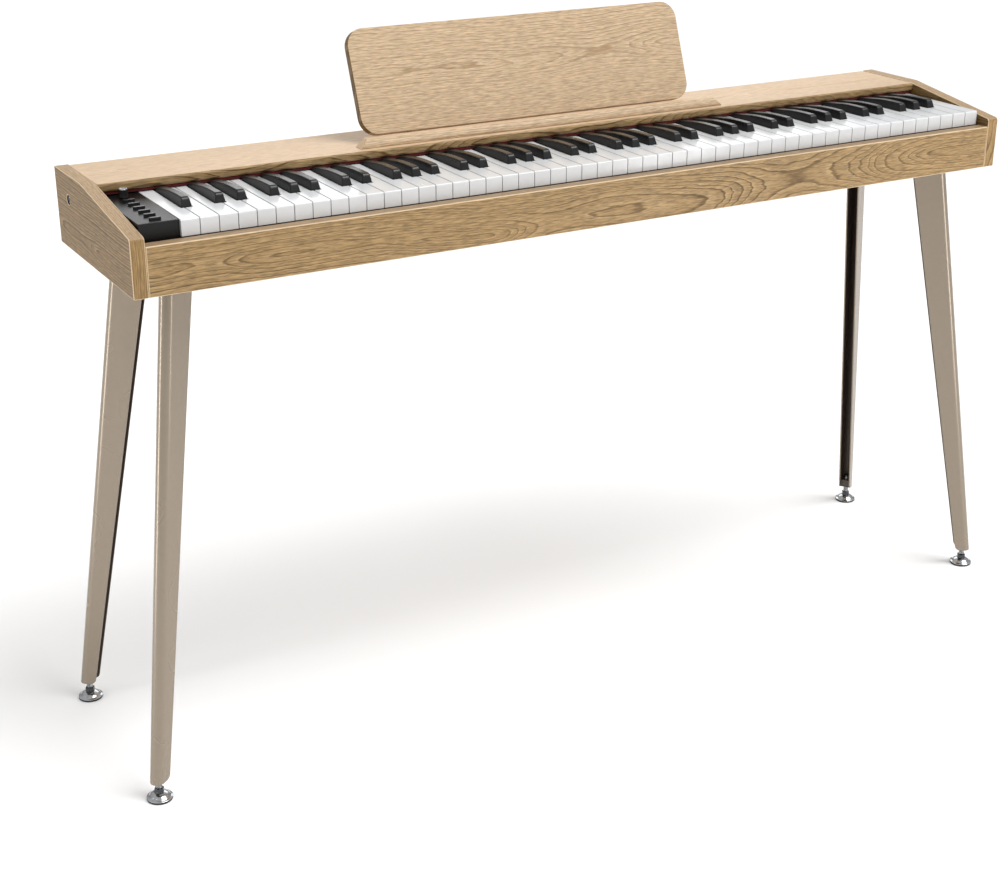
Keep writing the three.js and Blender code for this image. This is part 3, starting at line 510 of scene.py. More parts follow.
def block_at(name, origin, spans, materials):
    """A block whose spans are in millimetres from the origin."""
    return block(name, *([o + c * MM for c in span] for o, span in zip(origin, spans)), materials)


def arc(cx, cy, radius, start, end, steps):
    angles = [math.radians(start + (end - start) * i / steps) for i in range(steps + 1)]
    return [(cx + radius * math.cos(t), cy + radius * math.sin(t)) for t in angles]


def rounded(width, height, radius, steps=8, cx=0.0, cy=0.0):
    w, h = width / 2 - radius, height / 2 - radius
    corners = [(w, h, 0), (-w, h, 90), (-w, -h, 180), (w, -h, 270)]
    return [p for x, y, a in corners for p in arc(cx + x, cy + y, radius, a, a + 90, steps)]


def turned(name, profile, materials, segments=48, centre=(0, 0, 0), turn=None, sharp=40.0):
    """A piece turned about Z from (radius, height) points, then turned and placed."""
    move = Matrix.Translation(centre) @ (turn.to_4x4() if turn else Matrix.Identity(4))
    vertices, rings = [], []
    for radius, height in profile:
        if radius < 1e-9:
            rings.append([len(vertices)])
            vertices.append(move @ Vector((0, 0, height)))
        else:
            rings.append(list(range(len(vertices), len(vertices) + segments)))
            for i in range(segments):
                t = 2 * math.pi * i / segments
                vertices.append(move @ Vector((radius * math.cos(t), radius * math.sin(t), height)))
    faces = []
    for a, b in zip(rings, rings[1:]):
        for i in range(segments):
            j = (i + 1) % segments
            if len(a) == 1 and len(b) > 1:
                faces.append((a[0], b[j], b[i]))
            elif len(b) == 1 and len(a) > 1:
                faces.append((a[i], a[j], b[0]))
            elif len(a) > 1:
                faces.append((a[i], a[j], b[j], b[i]))
    for ring, order in ((rings[0], -1), (rings[-1], 1)):
        if len(ring) > 1:
            faces.append(tuple(ring[::order]))
    return shade(mesh_piece(name, vertices, faces, materials), sharp)


def cut(ob, cutter):
    """Takes the cutter's space out of the piece for good, and removes the cutter."""
    tool = ob.modifiers.new("cut", "BOOLEAN")
    tool.operation = "DIFFERENCE"
    tool.object = cutter
    tool.solver = "EXACT"
    bpy.context.view_layer.update()
    result = bpy.data.meshes.new_from_object(ob.evaluated_get(bpy.context.evaluated_depsgraph_get()))
    ob.modifiers.remove(tool)
    ob.data = result
    bpy.data.objects.remove(cutter)
    return ob


def dress(ob, body, slot, *nodes):
    """The piece moves with the body and stands for the CAD nodes, which are hidden. The slot is not used."""
    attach(ob, body)
    if nodes:
        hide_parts(*nodes)
    return ob


def on_case(ob, slot, *nodes):
    return dress(ob, "case", slot, *nodes)


def paint_by_side(ob, rules):
    """Gives each face the material number of the first rule whose direction it points along."""
    for face in ob.data.polygons:
        for number, direction, least in rules:
            if face.normal.dot(Vector(direction)) > least:
                face.material_index = number
                break


def join(name, parts):
    """One piece out of several that touch or lie apart."""
    bm = bmesh.new()
    for part in parts:
        bm.from_mesh(part.data)
    data = bpy.data.meshes.new(name)
    bm.to_mesh(data)
    bm.free()
    for material in parts[0].data.materials:
        data.materials.append(material)
    for part in parts:
        bpy.data.objects.remove(part)
    ob = bpy.data.objects.new(name, data)
    scene.collection.objects.link(ob)
    return ob


TO_SIDE = {
    "+x": Matrix.Rotation(math.pi / 2, 3, "Y"), "-x": Matrix.Rotation(-math.pi / 2, 3, "Y"),
    "+y": Matrix.Rotation(-math.pi / 2, 3, "X"), "-y": Matrix.Rotation(math.pi / 2, 3, "X"),
    "-z": Matrix.Rotation(math.pi, 3, "X"), "+z": Matrix.Identity(3),
}


def socket_screw(name, centre, side, radius, height, materials, socket=0.5):
    """A screw head with a rounded rim and a six-sided socket. The head stands up from the centre point."""
    move = Matrix.Translation(centre) @ TO_SIDE[side].to_4x4()
    count = 36

    def ring(r, z, hexagonal=False):
        points = []
        for i in range(count):
            t = 2 * math.pi * i / count
            k = r
            if hexagonal:
                k = r * math.cos(math.pi / 6) / math.cos((t % (math.pi / 3)) - math.pi / 6)
            points.append(move @ Vector((k * math.cos(t), k * math.sin(t), z)))
        return points

    rings = [
        ring(radius, 0.0), ring(radius, 0.60 * height), ring(0.96 * radius, 0.85 * height),
        ring(0.86 * radius, height), ring(socket * radius * 1.12, height, True),
        ring(socket * radius, 0.90 * height, True), ring(socket * radius, 0.25 * height, True),
    ]
    vertices = [p for one in rings for p in one] + [move @ Vector((0, 0, 0.15 * height))]
    faces = []
    for a in range(len(rings) - 1):
        for i in range(count):
            j = (i + 1) % count
            faces.append((a * count + i, a * count + j, (a + 1) * count + j, (a + 1) * count + i))
    last = (len(rings) - 1) * count
    faces += [(last + i, last + (i + 1) % count, len(vertices) - 1) for i in range(count)]
    faces.append(tuple(range(count - 1, -1, -1)))
    return shade(mesh_piece(name, vertices, faces, materials), 35.0)


# ---------- case ----------
rail_low, rail_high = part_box("front_rail")
board_low, board_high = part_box("top_board")
back_low, back_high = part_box("back_panel")
PANEL_FLAT_FROM = 35 * MM
PANEL_NOSE_DROP = 26 * MM
PANEL_NOSE_RADIUS = 5 * MM
SCREW_PLACE = (90 * MM, 720 * MM)
COUNTERBORE = (6.3 * MM, 4.5 * MM)


def panel_outline(low, high):
    nose = high.z - PANEL_NOSE_DROP
    slope = math.degrees(math.atan2(PANEL_NOSE_DROP, PANEL_FLAT_FROM - low.y))
    reach = PANEL_NOSE_RADIUS * math.tan(math.radians(90 - slope) / 2)
    centre = (low.y + PANEL_NOSE_RADIUS, nose - reach)
    outline = [(low.y, low.z), (high.y, low.z), (high.y, high.z), (PANEL_FLAT_FROM, high.z)]
    return outline + arc(*centre, PANEL_NOSE_RADIUS, 90 + slope, 180, 10)


for side, sign, face_material in (("left", -1, oak_side), ("right", 1, oak_side_right)):
    low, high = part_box(f"end_panel_{side}")
    panel = prism(f"side_panel_{side}", panel_outline(low, high), "X", low.x, high.x,
                  [face_material, oak_band, oak_slope, oak_edge_highlight])
    # Front and back faces take the edge band, upward faces the slope oak, and the rest the darker side oak,
    # which is painted shade.
    paint_by_side(panel, [(1, (0, -1, 0), 0.72), (2, (0, 0, 1), 0.6), (1, (0, 1, 0), 0.9)])
    outer = low.x if sign < 0 else high.x
    radius, depth = COUNTERBORE
    bore = turned("bore", [(radius, -depth), (radius, depth)], [], 40, (outer, *SCREW_PLACE), TO_SIDE["+x"])
    cut(panel, bore)
    # The bevels take the lighter oak, number 3: painted highlight lines.
    on_case(soften(panel, 0.9 * MM, line=3), "oak", f"end_panel_{side}")
    toward = "-x" if sign < 0 else "+x"
    seat = outer - sign * (COUNTERBORE[1] - 0.3 * MM)
    screw = socket_screw(f"side_screw_{side}", (seat, *SCREW_PLACE), toward, 4.7 * MM, 2.8 * MM,
                         [chrome], 0.58)
    on_case(screw, "black_plastic", f"case_screw_{side}")
    cup = turned(f"side_screw_cup_{side}", mm([
        (6.15, 0), (6.15, 3.9), (5.85, 3.9), (5.85, 0.3), (5.0, 0.3), (5.0, 0), (6.15, 0)
    ]), [socket_plastic], 40, (seat, *SCREW_PLACE), TO_SIDE[toward])
    on_case(cup, "black_plastic")

rail = block("front_board", *zip(rail_low, rail_high), [oak_rail, oak_rail_top_shade, oak_edge_highlight])
# The rail's top takes the darker oak: painted shade.
paint_by_side(rail, [(1, (0, 0, 1), 0.9)])
# The bevels take the lighter oak, number 2: painted highlight lines.
on_case(soften(rail, 1.2 * MM, line=2), "oak", "front_rail")

BOARD_EDGE = 3.5 * MM
outline = [(board_high.y, board_low.z), (board_high.y, board_high.z)]
outline += arc(board_low.y + BOARD_EDGE, board_high.z - BOARD_EDGE, BOARD_EDGE, 90, 180, 8)
outline += arc(board_low.y + BOARD_EDGE, board_low.z + BOARD_EDGE, BOARD_EDGE, 180, 270, 6)
PIN_X = (-202 * MM, 178 * MM)
LEAN = math.radians(21)
REST_FOOT = Vector((-12 * MM, 59 * MM, 762 * MM))
# The lid's faces take the lighter oak, painted light from above, and its front edge the rail's oak.
top_board = prism("lid_board", outline, "X", board_low.x, board_high.x, [oak_top_lit, oak_rail])
paint_by_side(top_board, [(1, (0, -1, 0), 0.45)])
for x in PIN_X:
    tilt = Matrix.Rotation(-LEAN, 3, "X")
    centre = Vector((x, REST_FOOT.y, REST_FOOT.z)) + tilt @ Vector((0, 5.5 * MM, 0))
    cut(top_board, turned("bore", mm([(3.5, -40), (3.5, 10)]), [], 24, centre, tilt))
on_case(soften(top_board, 0.7 * MM), "oak_light", "top_board")

back = block("rear_board", *zip(back_low, back_high), [oak_back])
jack_low, jack_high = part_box("jack_panel")
JACK_LAP = 3.6 * MM  # how far the socket plate covers the board round its opening
hole = block("hole", (jack_low.x + JACK_LAP, jack_high.x - JACK_LAP), (0.10, 0.16),
             (jack_low.z + JACK_LAP, jack_high.z - JACK_LAP), [])
cut(back, hole)
on_case(soften(back, 0.8 * MM), "oak", "back_panel")
REAR_SCREWS = 9
REAR_MARGIN = 30 * MM
for i in range(REAR_SCREWS):
    x = back_low.x + REAR_MARGIN + i * (back_high.x - back_low.x - 2 * REAR_MARGIN) / (REAR_SCREWS - 1)
    for row, z in (("lower", back_low.z + 7 * MM), ("upper", back_high.z - 9 * MM)):
        screw = socket_screw(f"rear_screw_{row}_{i + 1}", (x, back_high.y, z), "+y", 3.4 * MM, 1.5 * MM,
                             [zinc])
        on_case(screw, "black_plastic")

ledge_low, ledge_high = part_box("music_rest_ledge")
LEDGE_BEVEL = 12 * MM
depth = ledge_high.y - ledge_low.y
# The ledge's rounded front is one quadratic curve, in shares of the depth and the height.
start, corner, end = (0.5, 1.0), (1 / 6, 1 - 1 / 10.7), (0.0, 2.5 / 10.7)
curve = []
for i in range(13):
    t = i / 12
    shares = ((1 - t) ** 2, 2 * t * (1 - t), t * t)
    curve.append(tuple(sum(k * c for k, c in zip(shares, axis)) for axis in zip(start, corner, end)))
height = ledge_high.z - ledge_low.z
outline = [(ledge_low.y, ledge_low.z), (ledge_high.y, ledge_low.z), (ledge_high.y, ledge_high.z)]
outline += [(ledge_low.y + a * depth, ledge_low.z + b * height) for a, b in curve]
# The ledge takes the lighter oak, painted light, except on its front.
ledge = prism("rest_ledge", outline, "X", ledge_low.x, ledge_high.x, [oak_top_lit, oak_rest])
paint_by_side(ledge, [(1, (0, -1, 0), 0.38)])
for vertex in ledge.data.vertices:
    lift = (vertex.co.z - ledge_low.z) / height
    vertex.co.x -= math.copysign(LEDGE_BEVEL * lift, vertex.co.x)
on_case(soften(ledge, 0.5 * MM, 2), "oak_light", "music_rest_ledge")

# ---------- music rest ----------
REST_SIZE = (516 * MM, 139 * MM)
REST_CORNER = 24 * MM
REST_DEPTH = 11 * MM
rest = prism("rest_board", rounded(*REST_SIZE, REST_CORNER, 14, 0.0, REST_SIZE[1] / 2), "Y", 0.0, REST_DEPTH,
             [oak_rest, oak_edge])
paint_by_side(rest, [(0, (0, -1, 0), 0.8), (0, (0, 1, 0), 0.8), (1, (-1, 0, 0), 0.5), (1, (1, 0, 0), 0.5)])
for x in PIN_X:
    hole = turned("bore", mm([(3.3, -1), (3.3, 14.3)]), [], 24,
                  (x - REST_FOOT.x, REST_DEPTH / 2, 0.0))
    cut(rest, hole)
rest.data.transform(Matrix.Translation(REST_FOOT) @ Matrix.Rotation(-LEAN, 4, "X"))
dress(soften(rest, 0.9 * MM), "music_rest", "oak", "music_rest_board")

# ---------- keyboard ----------
PITCH = 23.5 * MM
KEY_LEFT = -587.5 * MM
KEY_FRONT = -119 * MM
KEY_TOP = 735 * MM
KEY_BOTTOM = 715 * MM
KEY_END = 95 * MM
KEY_GAP = 1 * MM
LIP_RADIUS = 2.0 * MM
FLANK_BEVEL = 0.5 * MM
NEAR = 1e-6
BLACK_BASE_WIDTH = 13.7 * MM
BLACK_TOP_WIDTH = 9.6 * MM
NOTCH_HALF = 7.65 * MM
SHOULDER = -69.8 * MM
LETTERS = "ABCDEFG"
BLACK_OFFSET = {"A": 3 * MM, "C": -2 * MM, "D": 2 * MM, "F": -3 * MM, "G": 0.0}
WHITE_COUNT = 52
BANKS = [(0, 8), (9, 15), (16, 22), (30, 36), (37, 43), (44, 51)]


def black_after(index):
    return 0 <= index < WHITE_COUNT - 1 and LETTERS[index % 7] in BLACK_OFFSET


def black_middle(index):
    return KEY_LEFT + (index + 1) * PITCH + BLACK_OFFSET[LETTERS[index % 7]]


def key_home(index, black):
    """The body that the key turns with and the CAD node that it stands for."""
    for number, (first, last) in enumerate(BANKS, 1):
        if first <= index <= last:
            colour = "black" if black else "white"
            return f"{colour}_keys_{number}", f"{colour}_keys_bank_{number}"
    name = f"key_{LETTERS[index % 7].lower()}4" + ("_sharp" if black else "")
    return name, name


def on_lip(edge):
    return all(abs(v.co.z - KEY_TOP) < NEAR and abs(v.co.y - KEY_FRONT) < NEAR for v in edge.verts)


def on_flank(edge):
    a, b = (v.co for v in edge.verts)
    return min(a.z, b.z) > KEY_TOP - NEAR and abs(a.x - b.x) < NEAR


def bevel(ob, picked, **how):
    bm = bmesh.new()
    bm.from_mesh(ob.data)
    edges = [edge for edge in bm.edges if picked(edge)]
    bmesh.ops.bevel(bm, geom=edges, profile=0.5, affect="EDGES", **how)
    bm.to_mesh(ob.data)
    bm.free()


def white_key(index):
    left = KEY_LEFT + index * PITCH + KEY_GAP / 2
    right = left + PITCH - KEY_GAP
    tail_left = black_middle(index - 1) + NOTCH_HALF if black_after(index - 1) else left
    tail_right = black_middle(index) - NOTCH_HALF if black_after(index) else right
    outline = [(left, KEY_FRONT), (right, KEY_FRONT)]
    if tail_right < right:
        outline += [(right, SHOULDER), (tail_right, SHOULDER)]
    outline += [(tail_right, KEY_END), (tail_left, KEY_END)]
    if tail_left > left:
        outline += [(tail_left, SHOULDER), (left, SHOULDER)]
    key = prism(f"white_key_{index + 1:02d}", outline, "Z", KEY_BOTTOM, KEY_TOP, [white_plastic, key_gap_shade])
    bevel(key, on_lip, offset=LIP_RADIUS, segments=5)
    # The side bevels take the grey material: painted shade along the gaps.
    bevel(key, on_flank, offset=FLANK_BEVEL, segments=1, material=1)
    return soften(key, 0.3 * MM, 2, 40)


BLACK_PROFILE = mm([
    (-69.0, 721.0), (-69.0, 734.0), (-68.3, 736.4), (-66.3, 742.0), (-65.5, 743.9), (-64.4, 745.2),
    (-62.8, 746.1), (-60.5, 746.45), (-50.0, 746.4), (-35.0, 746.0), (-19.75, 745.1), (-8.0, 743.6),
    (10.0, 741.4), (25.4, 739.0), (25.4, 732.0), (87.0, 732.0), (94.5, 732.0), (94.5, 721.0)
])
BLACK_FLANK = (734 * MM, 746.5 * MM)  # the sides lean in between these heights


def black_key(index, number):
    middle = black_middle(index)
    base, top = BLACK_FLANK
    half = BLACK_BASE_WIDTH / 2
    key = prism(f"black_key_{number:02d}", BLACK_PROFILE, "X", -half, half, [black_plastic])
    for vertex in key.data.vertices:
        lift = max(0.0, (vertex.co.z - base) / (top - base))
        vertex.co.x = middle + vertex.co.x * (1 - (1 - BLACK_TOP_WIDTH / BLACK_BASE_WIDTH) * lift)
    return soften(key, 1.3 * MM, 4, 30)


black_number = 0
for index in range(WHITE_COUNT):
    body, node = key_home(index, False)
    dress(white_key(index), body, "key_white", node)
    if black_after(index):
        black_number += 1
        body, node = key_home(index, True)
        dress(black_key(index, black_number), body, "key_black", node)


def felt_strip(name, low, high, material, pile):
    """A felt strip with rounded, slightly uneven faces, as pressed wool has."""
    count = 220
    cy, cz = (low.y + high.y) / 2, (low.z + high.z) / 2
    section = rounded(high.y - low.y, high.z - low.z, pile, 3, cy, cz)
    n = len(section)
    vertices, faces = [], []
    for i in range(count + 1):
        x = low.x + (high.x - low.x) * i / count
        for j, (y, z) in enumerate(section):
            uneven = 1 - 0.05 * (1 + math.sin(i * 2.399 + j * 1.3) * math.cos(i * 0.731 + j * 2.1))
            vertices.append((x, cy + (y - cy) * uneven, cz + (z - cz) * uneven))
    for i in range(count):
        here, there = i * n, (i + 1) * n
        faces += [(here + j, here + (j + 1) % n, there + (j + 1) % n, there + j) for j in range(n)]
    faces += [tuple(range(n)), tuple(range(count * n + n - 1, count * n - 1, -1))]
    return shade(mesh_piece(name, vertices, faces, [material]), 60.0)


for name, node, material, slot in (("red_felt_strip", "nameboard_felt", felt_red, "red_felt"),
                                   ("stop_felt_strip", "key_stop_felt", felt_grey, "grey_felt")):
    on_case(felt_strip(name, *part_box(node), material, 0.9 * MM), slot, node)

# ---------- control block ----------
ctrl_low, ctrl_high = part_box("control_housing")
CTRL_X = (ctrl_low.x + ctrl_high.x) / 2
NOSE = 1 * MM
BUTTON_WELL = (15.3 * MM, 4.8 * MM, 2.39 * MM)  # width, height, corner
BUTTON_CAP = (14.5 * MM, 4.0 * MM, 1.99 * MM)
WELL_DEPTH = 4.4 * MM
outline = [(ctrl_low.y, ctrl_low.z), (ctrl_high.y, ctrl_low.z), (ctrl_high.y, ctrl_high.z)]
outline += arc(ctrl_low.y + NOSE, ctrl_high.z - NOSE, NOSE, 90, 180, 8)
housing = prism("control_block", outline, "X", ctrl_low.x, ctrl_high.x, [housing_plastic])
wells = []
for i in range(6):
    low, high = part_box(f"control_button_{i + 1}")
    middle = (low.y + high.y) / 2
    outline = rounded(*BUTTON_WELL, 6, CTRL_X, middle)
    wells.append(prism("well", outline, "Z", ctrl_high.z - WELL_DEPTH, ctrl_high.z + 5 * MM, []))
    cap = prism(f"button_cap_{i + 1}", rounded(*BUTTON_CAP, 8, CTRL_X, middle), "Z",
                ctrl_high.z - 3.1 * MM, high.z, [button_plastic])
    dress(soften(cap, 0.7 * MM, 4), f"control_button_{i + 1}", "black_plastic", f"control_button_{i + 1}")
knob_low, knob_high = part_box("volume_knob")
KNOB = Vector((CTRL_X, (knob_low.y + knob_high.y) / 2, ctrl_high.z))
wells.append(turned("well", mm([(2.9, -4.4), (2.9, 4)]), [], 24, KNOB))
wells.append(turned("well", mm([(7.2, -0.4), (7.2, 4)]), [], 48, KNOB))
cut(housing, join("wells", wells))
on_case(soften(housing, 0.4 * MM, 2), "black_plastic", "control_housing")

FLUTES = 30
STEPS = FLUTES * 4


def fluted(name, levels, material):
    """A turned knob skirt whose side is cut with small upright flutes."""
    vertices, faces = [], []
    for radius, height, flute in levels:
        for i in range(STEPS):
            t = 2 * math.pi * i / STEPS
            r = radius - flute * (0.5 - 0.5 * math.cos(FLUTES * t))
            vertices.append(KNOB + Vector((r * math.cos(t), r * math.sin(t), height)))
    for a in range(len(levels) - 1):
        for i in range(STEPS):
            j = (i + 1) % STEPS
            faces.append((a * STEPS + i, a * STEPS + j, (a + 1) * STEPS + j, (a + 1) * STEPS + i))
    faces.append(tuple(range(STEPS - 1, -1, -1)))
    faces.append(tuple(range((len(levels) - 1) * STEPS, len(levels) * STEPS)))
    return shade(mesh_piece(name, vertices, faces, [material]), 50.0)


skirt = fluted("knob_skirt", mm([
    (5.5, 0.8, 0), (5.8, 1.1, 0), (5.8, 1.8, 0), (5.75, 2.0, 0.42), (5.65, 10.2, 0.42), (5.4, 10.6, 0)
]), housing_plastic)
dress(skirt, "volume_knob", "knob_silver", "volume_knob")
cap = turned("knob_cap", mm([
    (5.3, 10.6), (5.3, 11.3), (4.9, 11.9), (4.3, 12.0), (3.9, 11.75), (0, 11.7)
]), [knob_silver], 60, KNOB)
dress(cap, "volume_knob", "knob_silver")
mark = block_at("knob_mark", KNOB, ((-0.4, 0.4), (1.4, 3.9), (11.5, 11.95)), [housing_plastic])
dress(soften(mark, 0.15 * MM, 2), "volume_knob", "knob_silver")
spindle = turned("knob_spindle", mm([(2.5, -6.5), (2.5, 0.8)]), [steel], 24, KNOB)
dress(soften(spindle, 0.3 * MM, 2), "volume_knob", "knob_silver")

# ---------- legs and feet ----------
LEG_LOW, LEG_TOP = 25 * MM, 654.7 * MM
LEG_HALF = 9.6 * MM
LEG_WALL = 2 * MM
LEG_DEPTH = (23 * MM, 48 * MM)
LEG_SPLAY = 99 * MM
LEG_END_RADIUS = 7 * MM
LEG_HEADING = 35.0
LEG_NOSE = (606 * MM, 93 * MM)
PLATE = (-96 * MM, -9.6 * MM, 28 * MM, 3 * MM)  # inner end, outer end, half width, thickness
PLATE_HOLES = ((-86, -18), (-86, 18), (-58, -18), (-58, 18))
THREAD_ROOT, THREAD_CREST, THREAD_PITCH = 3.45 * MM, 4.0 * MM, 1.25 * MM
FOOT_U = LEG_SPLAY - LEG_DEPTH[0] / 2


def leg_frame(sx, sy):
    heading = math.atan2(sy * math.sin(math.radians(LEG_HEADING)), sx * math.cos(math.radians(LEG_HEADING)))
    return Matrix.Translation((sx * LEG_NOSE[0], sy * LEG_NOSE[1], 0)) @ Matrix.Rotation(heading, 4, "Z")


def taper(u, z):
    rise = (z - LEG_LOW) / (LEG_TOP - LEG_LOW)
    depth = LEG_DEPTH[0] + (LEG_DEPTH[1] - LEG_DEPTH[0]) * rise
    flange = min(0.0, u + LEG_HALF)
    return u - flange + flange * (depth - LEG_HALF) / (LEG_DEPTH[1] - LEG_HALF) + LEG_SPLAY * (1 - rise)


def channel_side(half):
    """One side of the sheet, from one open edge round the nose to the other, denser near the edges."""
    flange = [-LEG_DEPTH[1] + step * MM for step in (0.0, 1.2, 3.5, 7.5, 14.0)]
    side = [(u, -half) for u in flange] + arc(-LEG_HALF, 0.0, half, -90, 90, 24)
    return side + [(u, half) for u in reversed(flange)]


def lowest(u):
    """The leg's lower end is cut round at its open edges."""
    reach = (u + LEG_DEPTH[1]) * (LEG_DEPTH[0] - LEG_HALF) / (LEG_DEPTH[1] - LEG_HALF)
    inside = max(0.0, LEG_END_RADIUS - reach)
    return LEG_LOW + LEG_END_RADIUS - math.sqrt(LEG_END_RADIUS ** 2 - inside ** 2)


def leg_channel(name, move):
    outer, inner = channel_side(LEG_HALF), channel_side(LEG_HALF - LEG_WALL)
    n = len(outer)
    levels = [LEG_LOW] + [LEG_LOW + (LEG_TOP - LEG_LOW) * i / 8 for i in range(1, 9)]
    vertices, faces, numbers = [], [], []
    for level, z in enumerate(levels):
        for u, v in outer + inner:
            h = lowest(u) if level == 0 else z
            vertices.append(move @ Vector((taper(u, h), v, h)))
    # Inner faces take the dark material, number 1: painted shade inside the channel.
    for a in range(len(levels) - 1):
        low, high = 2 * n * a, 2 * n * (a + 1)
        for i in range(n - 1):
            faces.append((low + i, low + i + 1, high + i + 1, high + i))
            faces.append((low + n + i, high + n + i, high + n + i + 1, low + n + i + 1))
            numbers += [0, 1]
        faces.append((low, high, high + n, low + n))
        faces.append((low + n - 1, low + 2 * n - 1, high + 2 * n - 1, high + n - 1))
        numbers += [0, 0]
    for base in (0, 2 * n * (len(levels) - 1)):
        faces += [(base + i, base + i + 1, base + n + i + 1, base + n + i) for i in range(n - 1)]
        numbers += [0] * (n - 1)
    channel = mesh_piece(name, vertices, faces, [champagne, leg_shade], numbers)
    return soften(channel, 0.5 * MM, 2, 50)


for end, sy in (("front", -1), ("back", 1)):
    for side, sx in (("left", -1), ("right", 1)):
        tag = f"{end}_{side}"
        move = leg_frame(sx, sy)
        on_case(leg_channel(f"leg_channel_{tag}", move), "champagne_paint", f"leg_{tag}")
        # the solid end that the foot's stud goes through, in the dark painted-shade material
        inner = channel_side(LEG_HALF - LEG_WALL - 0.05 * MM)[4:-4]
        inner = [(max(u, -LEG_DEPTH[1] + 16 * MM), v) for u, v in inner]
        heights = (LEG_LOW + 0.3 * MM, LEG_LOW + 14 * MM)
        vertices = [Vector((taper(u, z), v, z)) for z in heights for u, v in inner]
        plug = mesh_piece(f"leg_plug_{tag}", vertices, prism_faces(len(inner)), [leg_shade])
        cut(plug, turned("bore", [(4.5 * MM, 0.02), (4.5 * MM, 0.045)], [], 32, (FOOT_U, 0, 0)))
        plug.data.transform(move)
        on_case(soften(plug, 0.4 * MM, 2), "champagne_paint", f"leg_{tag}")
        u0, u1, half_width, thick = PLATE
        outline = rounded(u1 - u0, 2 * half_width, 6 * MM, 6, (u0 + u1) / 2, 0.0)
        plate = prism(f"leg_plate_{tag}", outline, "Z", LEG_TOP - thick, LEG_TOP, [champagne])
        plate.data.transform(move)
        on_case(soften(plate, 0.5 * MM, 2), "champagne_paint", f"leg_{tag}")
        for i, (u, v) in enumerate(PLATE_HOLES):
            place = move @ Vector((u * MM, v * MM, LEG_TOP - thick))
            head = socket_screw(f"leg_screw_{tag}_{i + 1}", place, "-z", 5 * MM, 2.4 * MM, [zinc])
            on_case(head, "champagne_paint", f"leg_{tag}")
        centre = move @ Vector((FOOT_U, 0, 0))
        pad = turned(f"foot_pad_{tag}", mm([
            (0, 2.3), (16.0, 2.3), (16.4, 2.5), (16.6, 2.8), (16.5, 3.3), (16.1, 3.6), (15.0, 3.9),
            (13.6, 4.6), (12.4, 6.3), (10.8, 7.6), (8.6, 8.5), (7.2, 9.0), (0, 9.0)
        ]), [chrome], 64, centre)
        dress(pad, f"foot_{tag}", "foot_chrome", f"foot_{tag}")
        glide = turned(f"foot_glide_{tag}", mm([
            (0, 0.3), (12.0, 0.3), (12.4, 0.0), (16.0, 0.0), (16.5, 0.5), (16.5, 2.3), (0, 2.3)
        ]), [rubber], 64, centre)
        dress(glide, f"foot_{tag}", "foot_chrome", f"foot_{tag}")
        nut = turned(f"foot_nut_{tag}", mm([
            (5.6, 8.9), (6.5, 9.5), (6.5, 15.4), (5.6, 16.0)
        ]), [black_nut], 6, centre, sharp=20.0)
        dress(soften(nut, 0.35 * MM, 3, 20), f"foot_{tag}", "foot_chrome", f"foot_{tag}")
        thread = mm([(0, 15.5), (3.5, 15.5)])
        z = 16.0 * MM
        while z < 44 * MM:
            thread += [(THREAD_ROOT, z), (THREAD_CREST, z + 0.5 * MM), (THREAD_CREST, z + 0.65 * MM),
                       (THREAD_ROOT, z + 1.1 * MM)]
            z += THREAD_PITCH
        thread += mm([(3.2, 45), (0, 45)])
        stud = turned(f"foot_stud_{tag}", thread, [zinc], 32, centre, sharp=25.0)
        dress(stud, f"foot_{tag}", "foot_chrome", f"foot_{tag}")

# ---------- back: sockets ----------
JACK_X = (jack_low.x + jack_high.x) / 2
JACK_Z = (jack_low.z + jack_high.z) / 2
face_y = jack_high.y
PLATE_MIDDLE = (JACK_X, face_y, JACK_Z)
outline = rounded(jack_high.x - jack_low.x, jack_high.z - jack_low.z, 4 * MM, 6, JACK_X, JACK_Z)
plate = prism("socket_plate", outline, "Y", face_y - 2.5 * MM, face_y, [housing_plastic])
box = block("socket_box", (jack_low.x + 4 * MM, jack_high.x - 4 * MM), (jack_low.y, face_y - 2.0 * MM),
            (jack_low.z + 4 * MM, jack_high.z - 4 * MM), [socket_plastic])
# name, place along the plate and radius, in millimetres
SOCKETS = (("power", -50, 3.2), ("headphones", -28, 3.6), ("pedal", -8, 3.6), ("line", 12, 3.6))
bores = [turned("bore", mm([(r, -4), (r, 4)]), [], 32, (JACK_X + x * MM, face_y, JACK_Z), TO_SIDE["+y"])
         for _, x, r in SOCKETS]
bores.append(block_at("bore", PLATE_MIDDLE, ((30, 40), (-5, 5), (-4.5, 4.5)), []))
cut(plate, join("bores", bores))
on_case(soften(plate, 0.4 * MM, 2), "black_plastic", "jack_panel")
on_case(soften(box, 0.6 * MM, 2), "black_plastic", "jack_panel")
for name, x, r in SOCKETS:
    centre = (JACK_X + x * MM, face_y - 2.0 * MM, JACK_Z)
    material = socket_plastic if name == "power" else zinc
    ring = turned(f"socket_{name}_ring", mm([
        (r, 0), (r, 2.2), (r - 0.3, 2.5), (r - 0.9, 2.5), (r - 1.0, 2.2), (r - 1.0, 0), (r, 0)
    ]), [material], 40, centre, TO_SIDE["+y"])
    on_case(ring, "black_plastic")
pin = turned("socket_power_pin", mm([(0, 0), (0.9, 0), (0.9, 1.8), (0.5, 2.2), (0, 2.2)]),
             [zinc], 20, (JACK_X - 50 * MM, face_y - 2.0 * MM, JACK_Z), TO_SIDE["+y"])
on_case(pin, "black_plastic")
frame_outline = rounded(9.8 * MM, 8.8 * MM, 0.8 * MM, 4, JACK_X + 35 * MM, JACK_Z)
usb = prism("socket_data_shell", frame_outline, "Y", face_y - 2.2 * MM, face_y, [zinc])
cut(usb, block_at("bore", PLATE_MIDDLE, ((30.8, 39.2), (-1.6, 1), (-3.7, 3.7)), []))
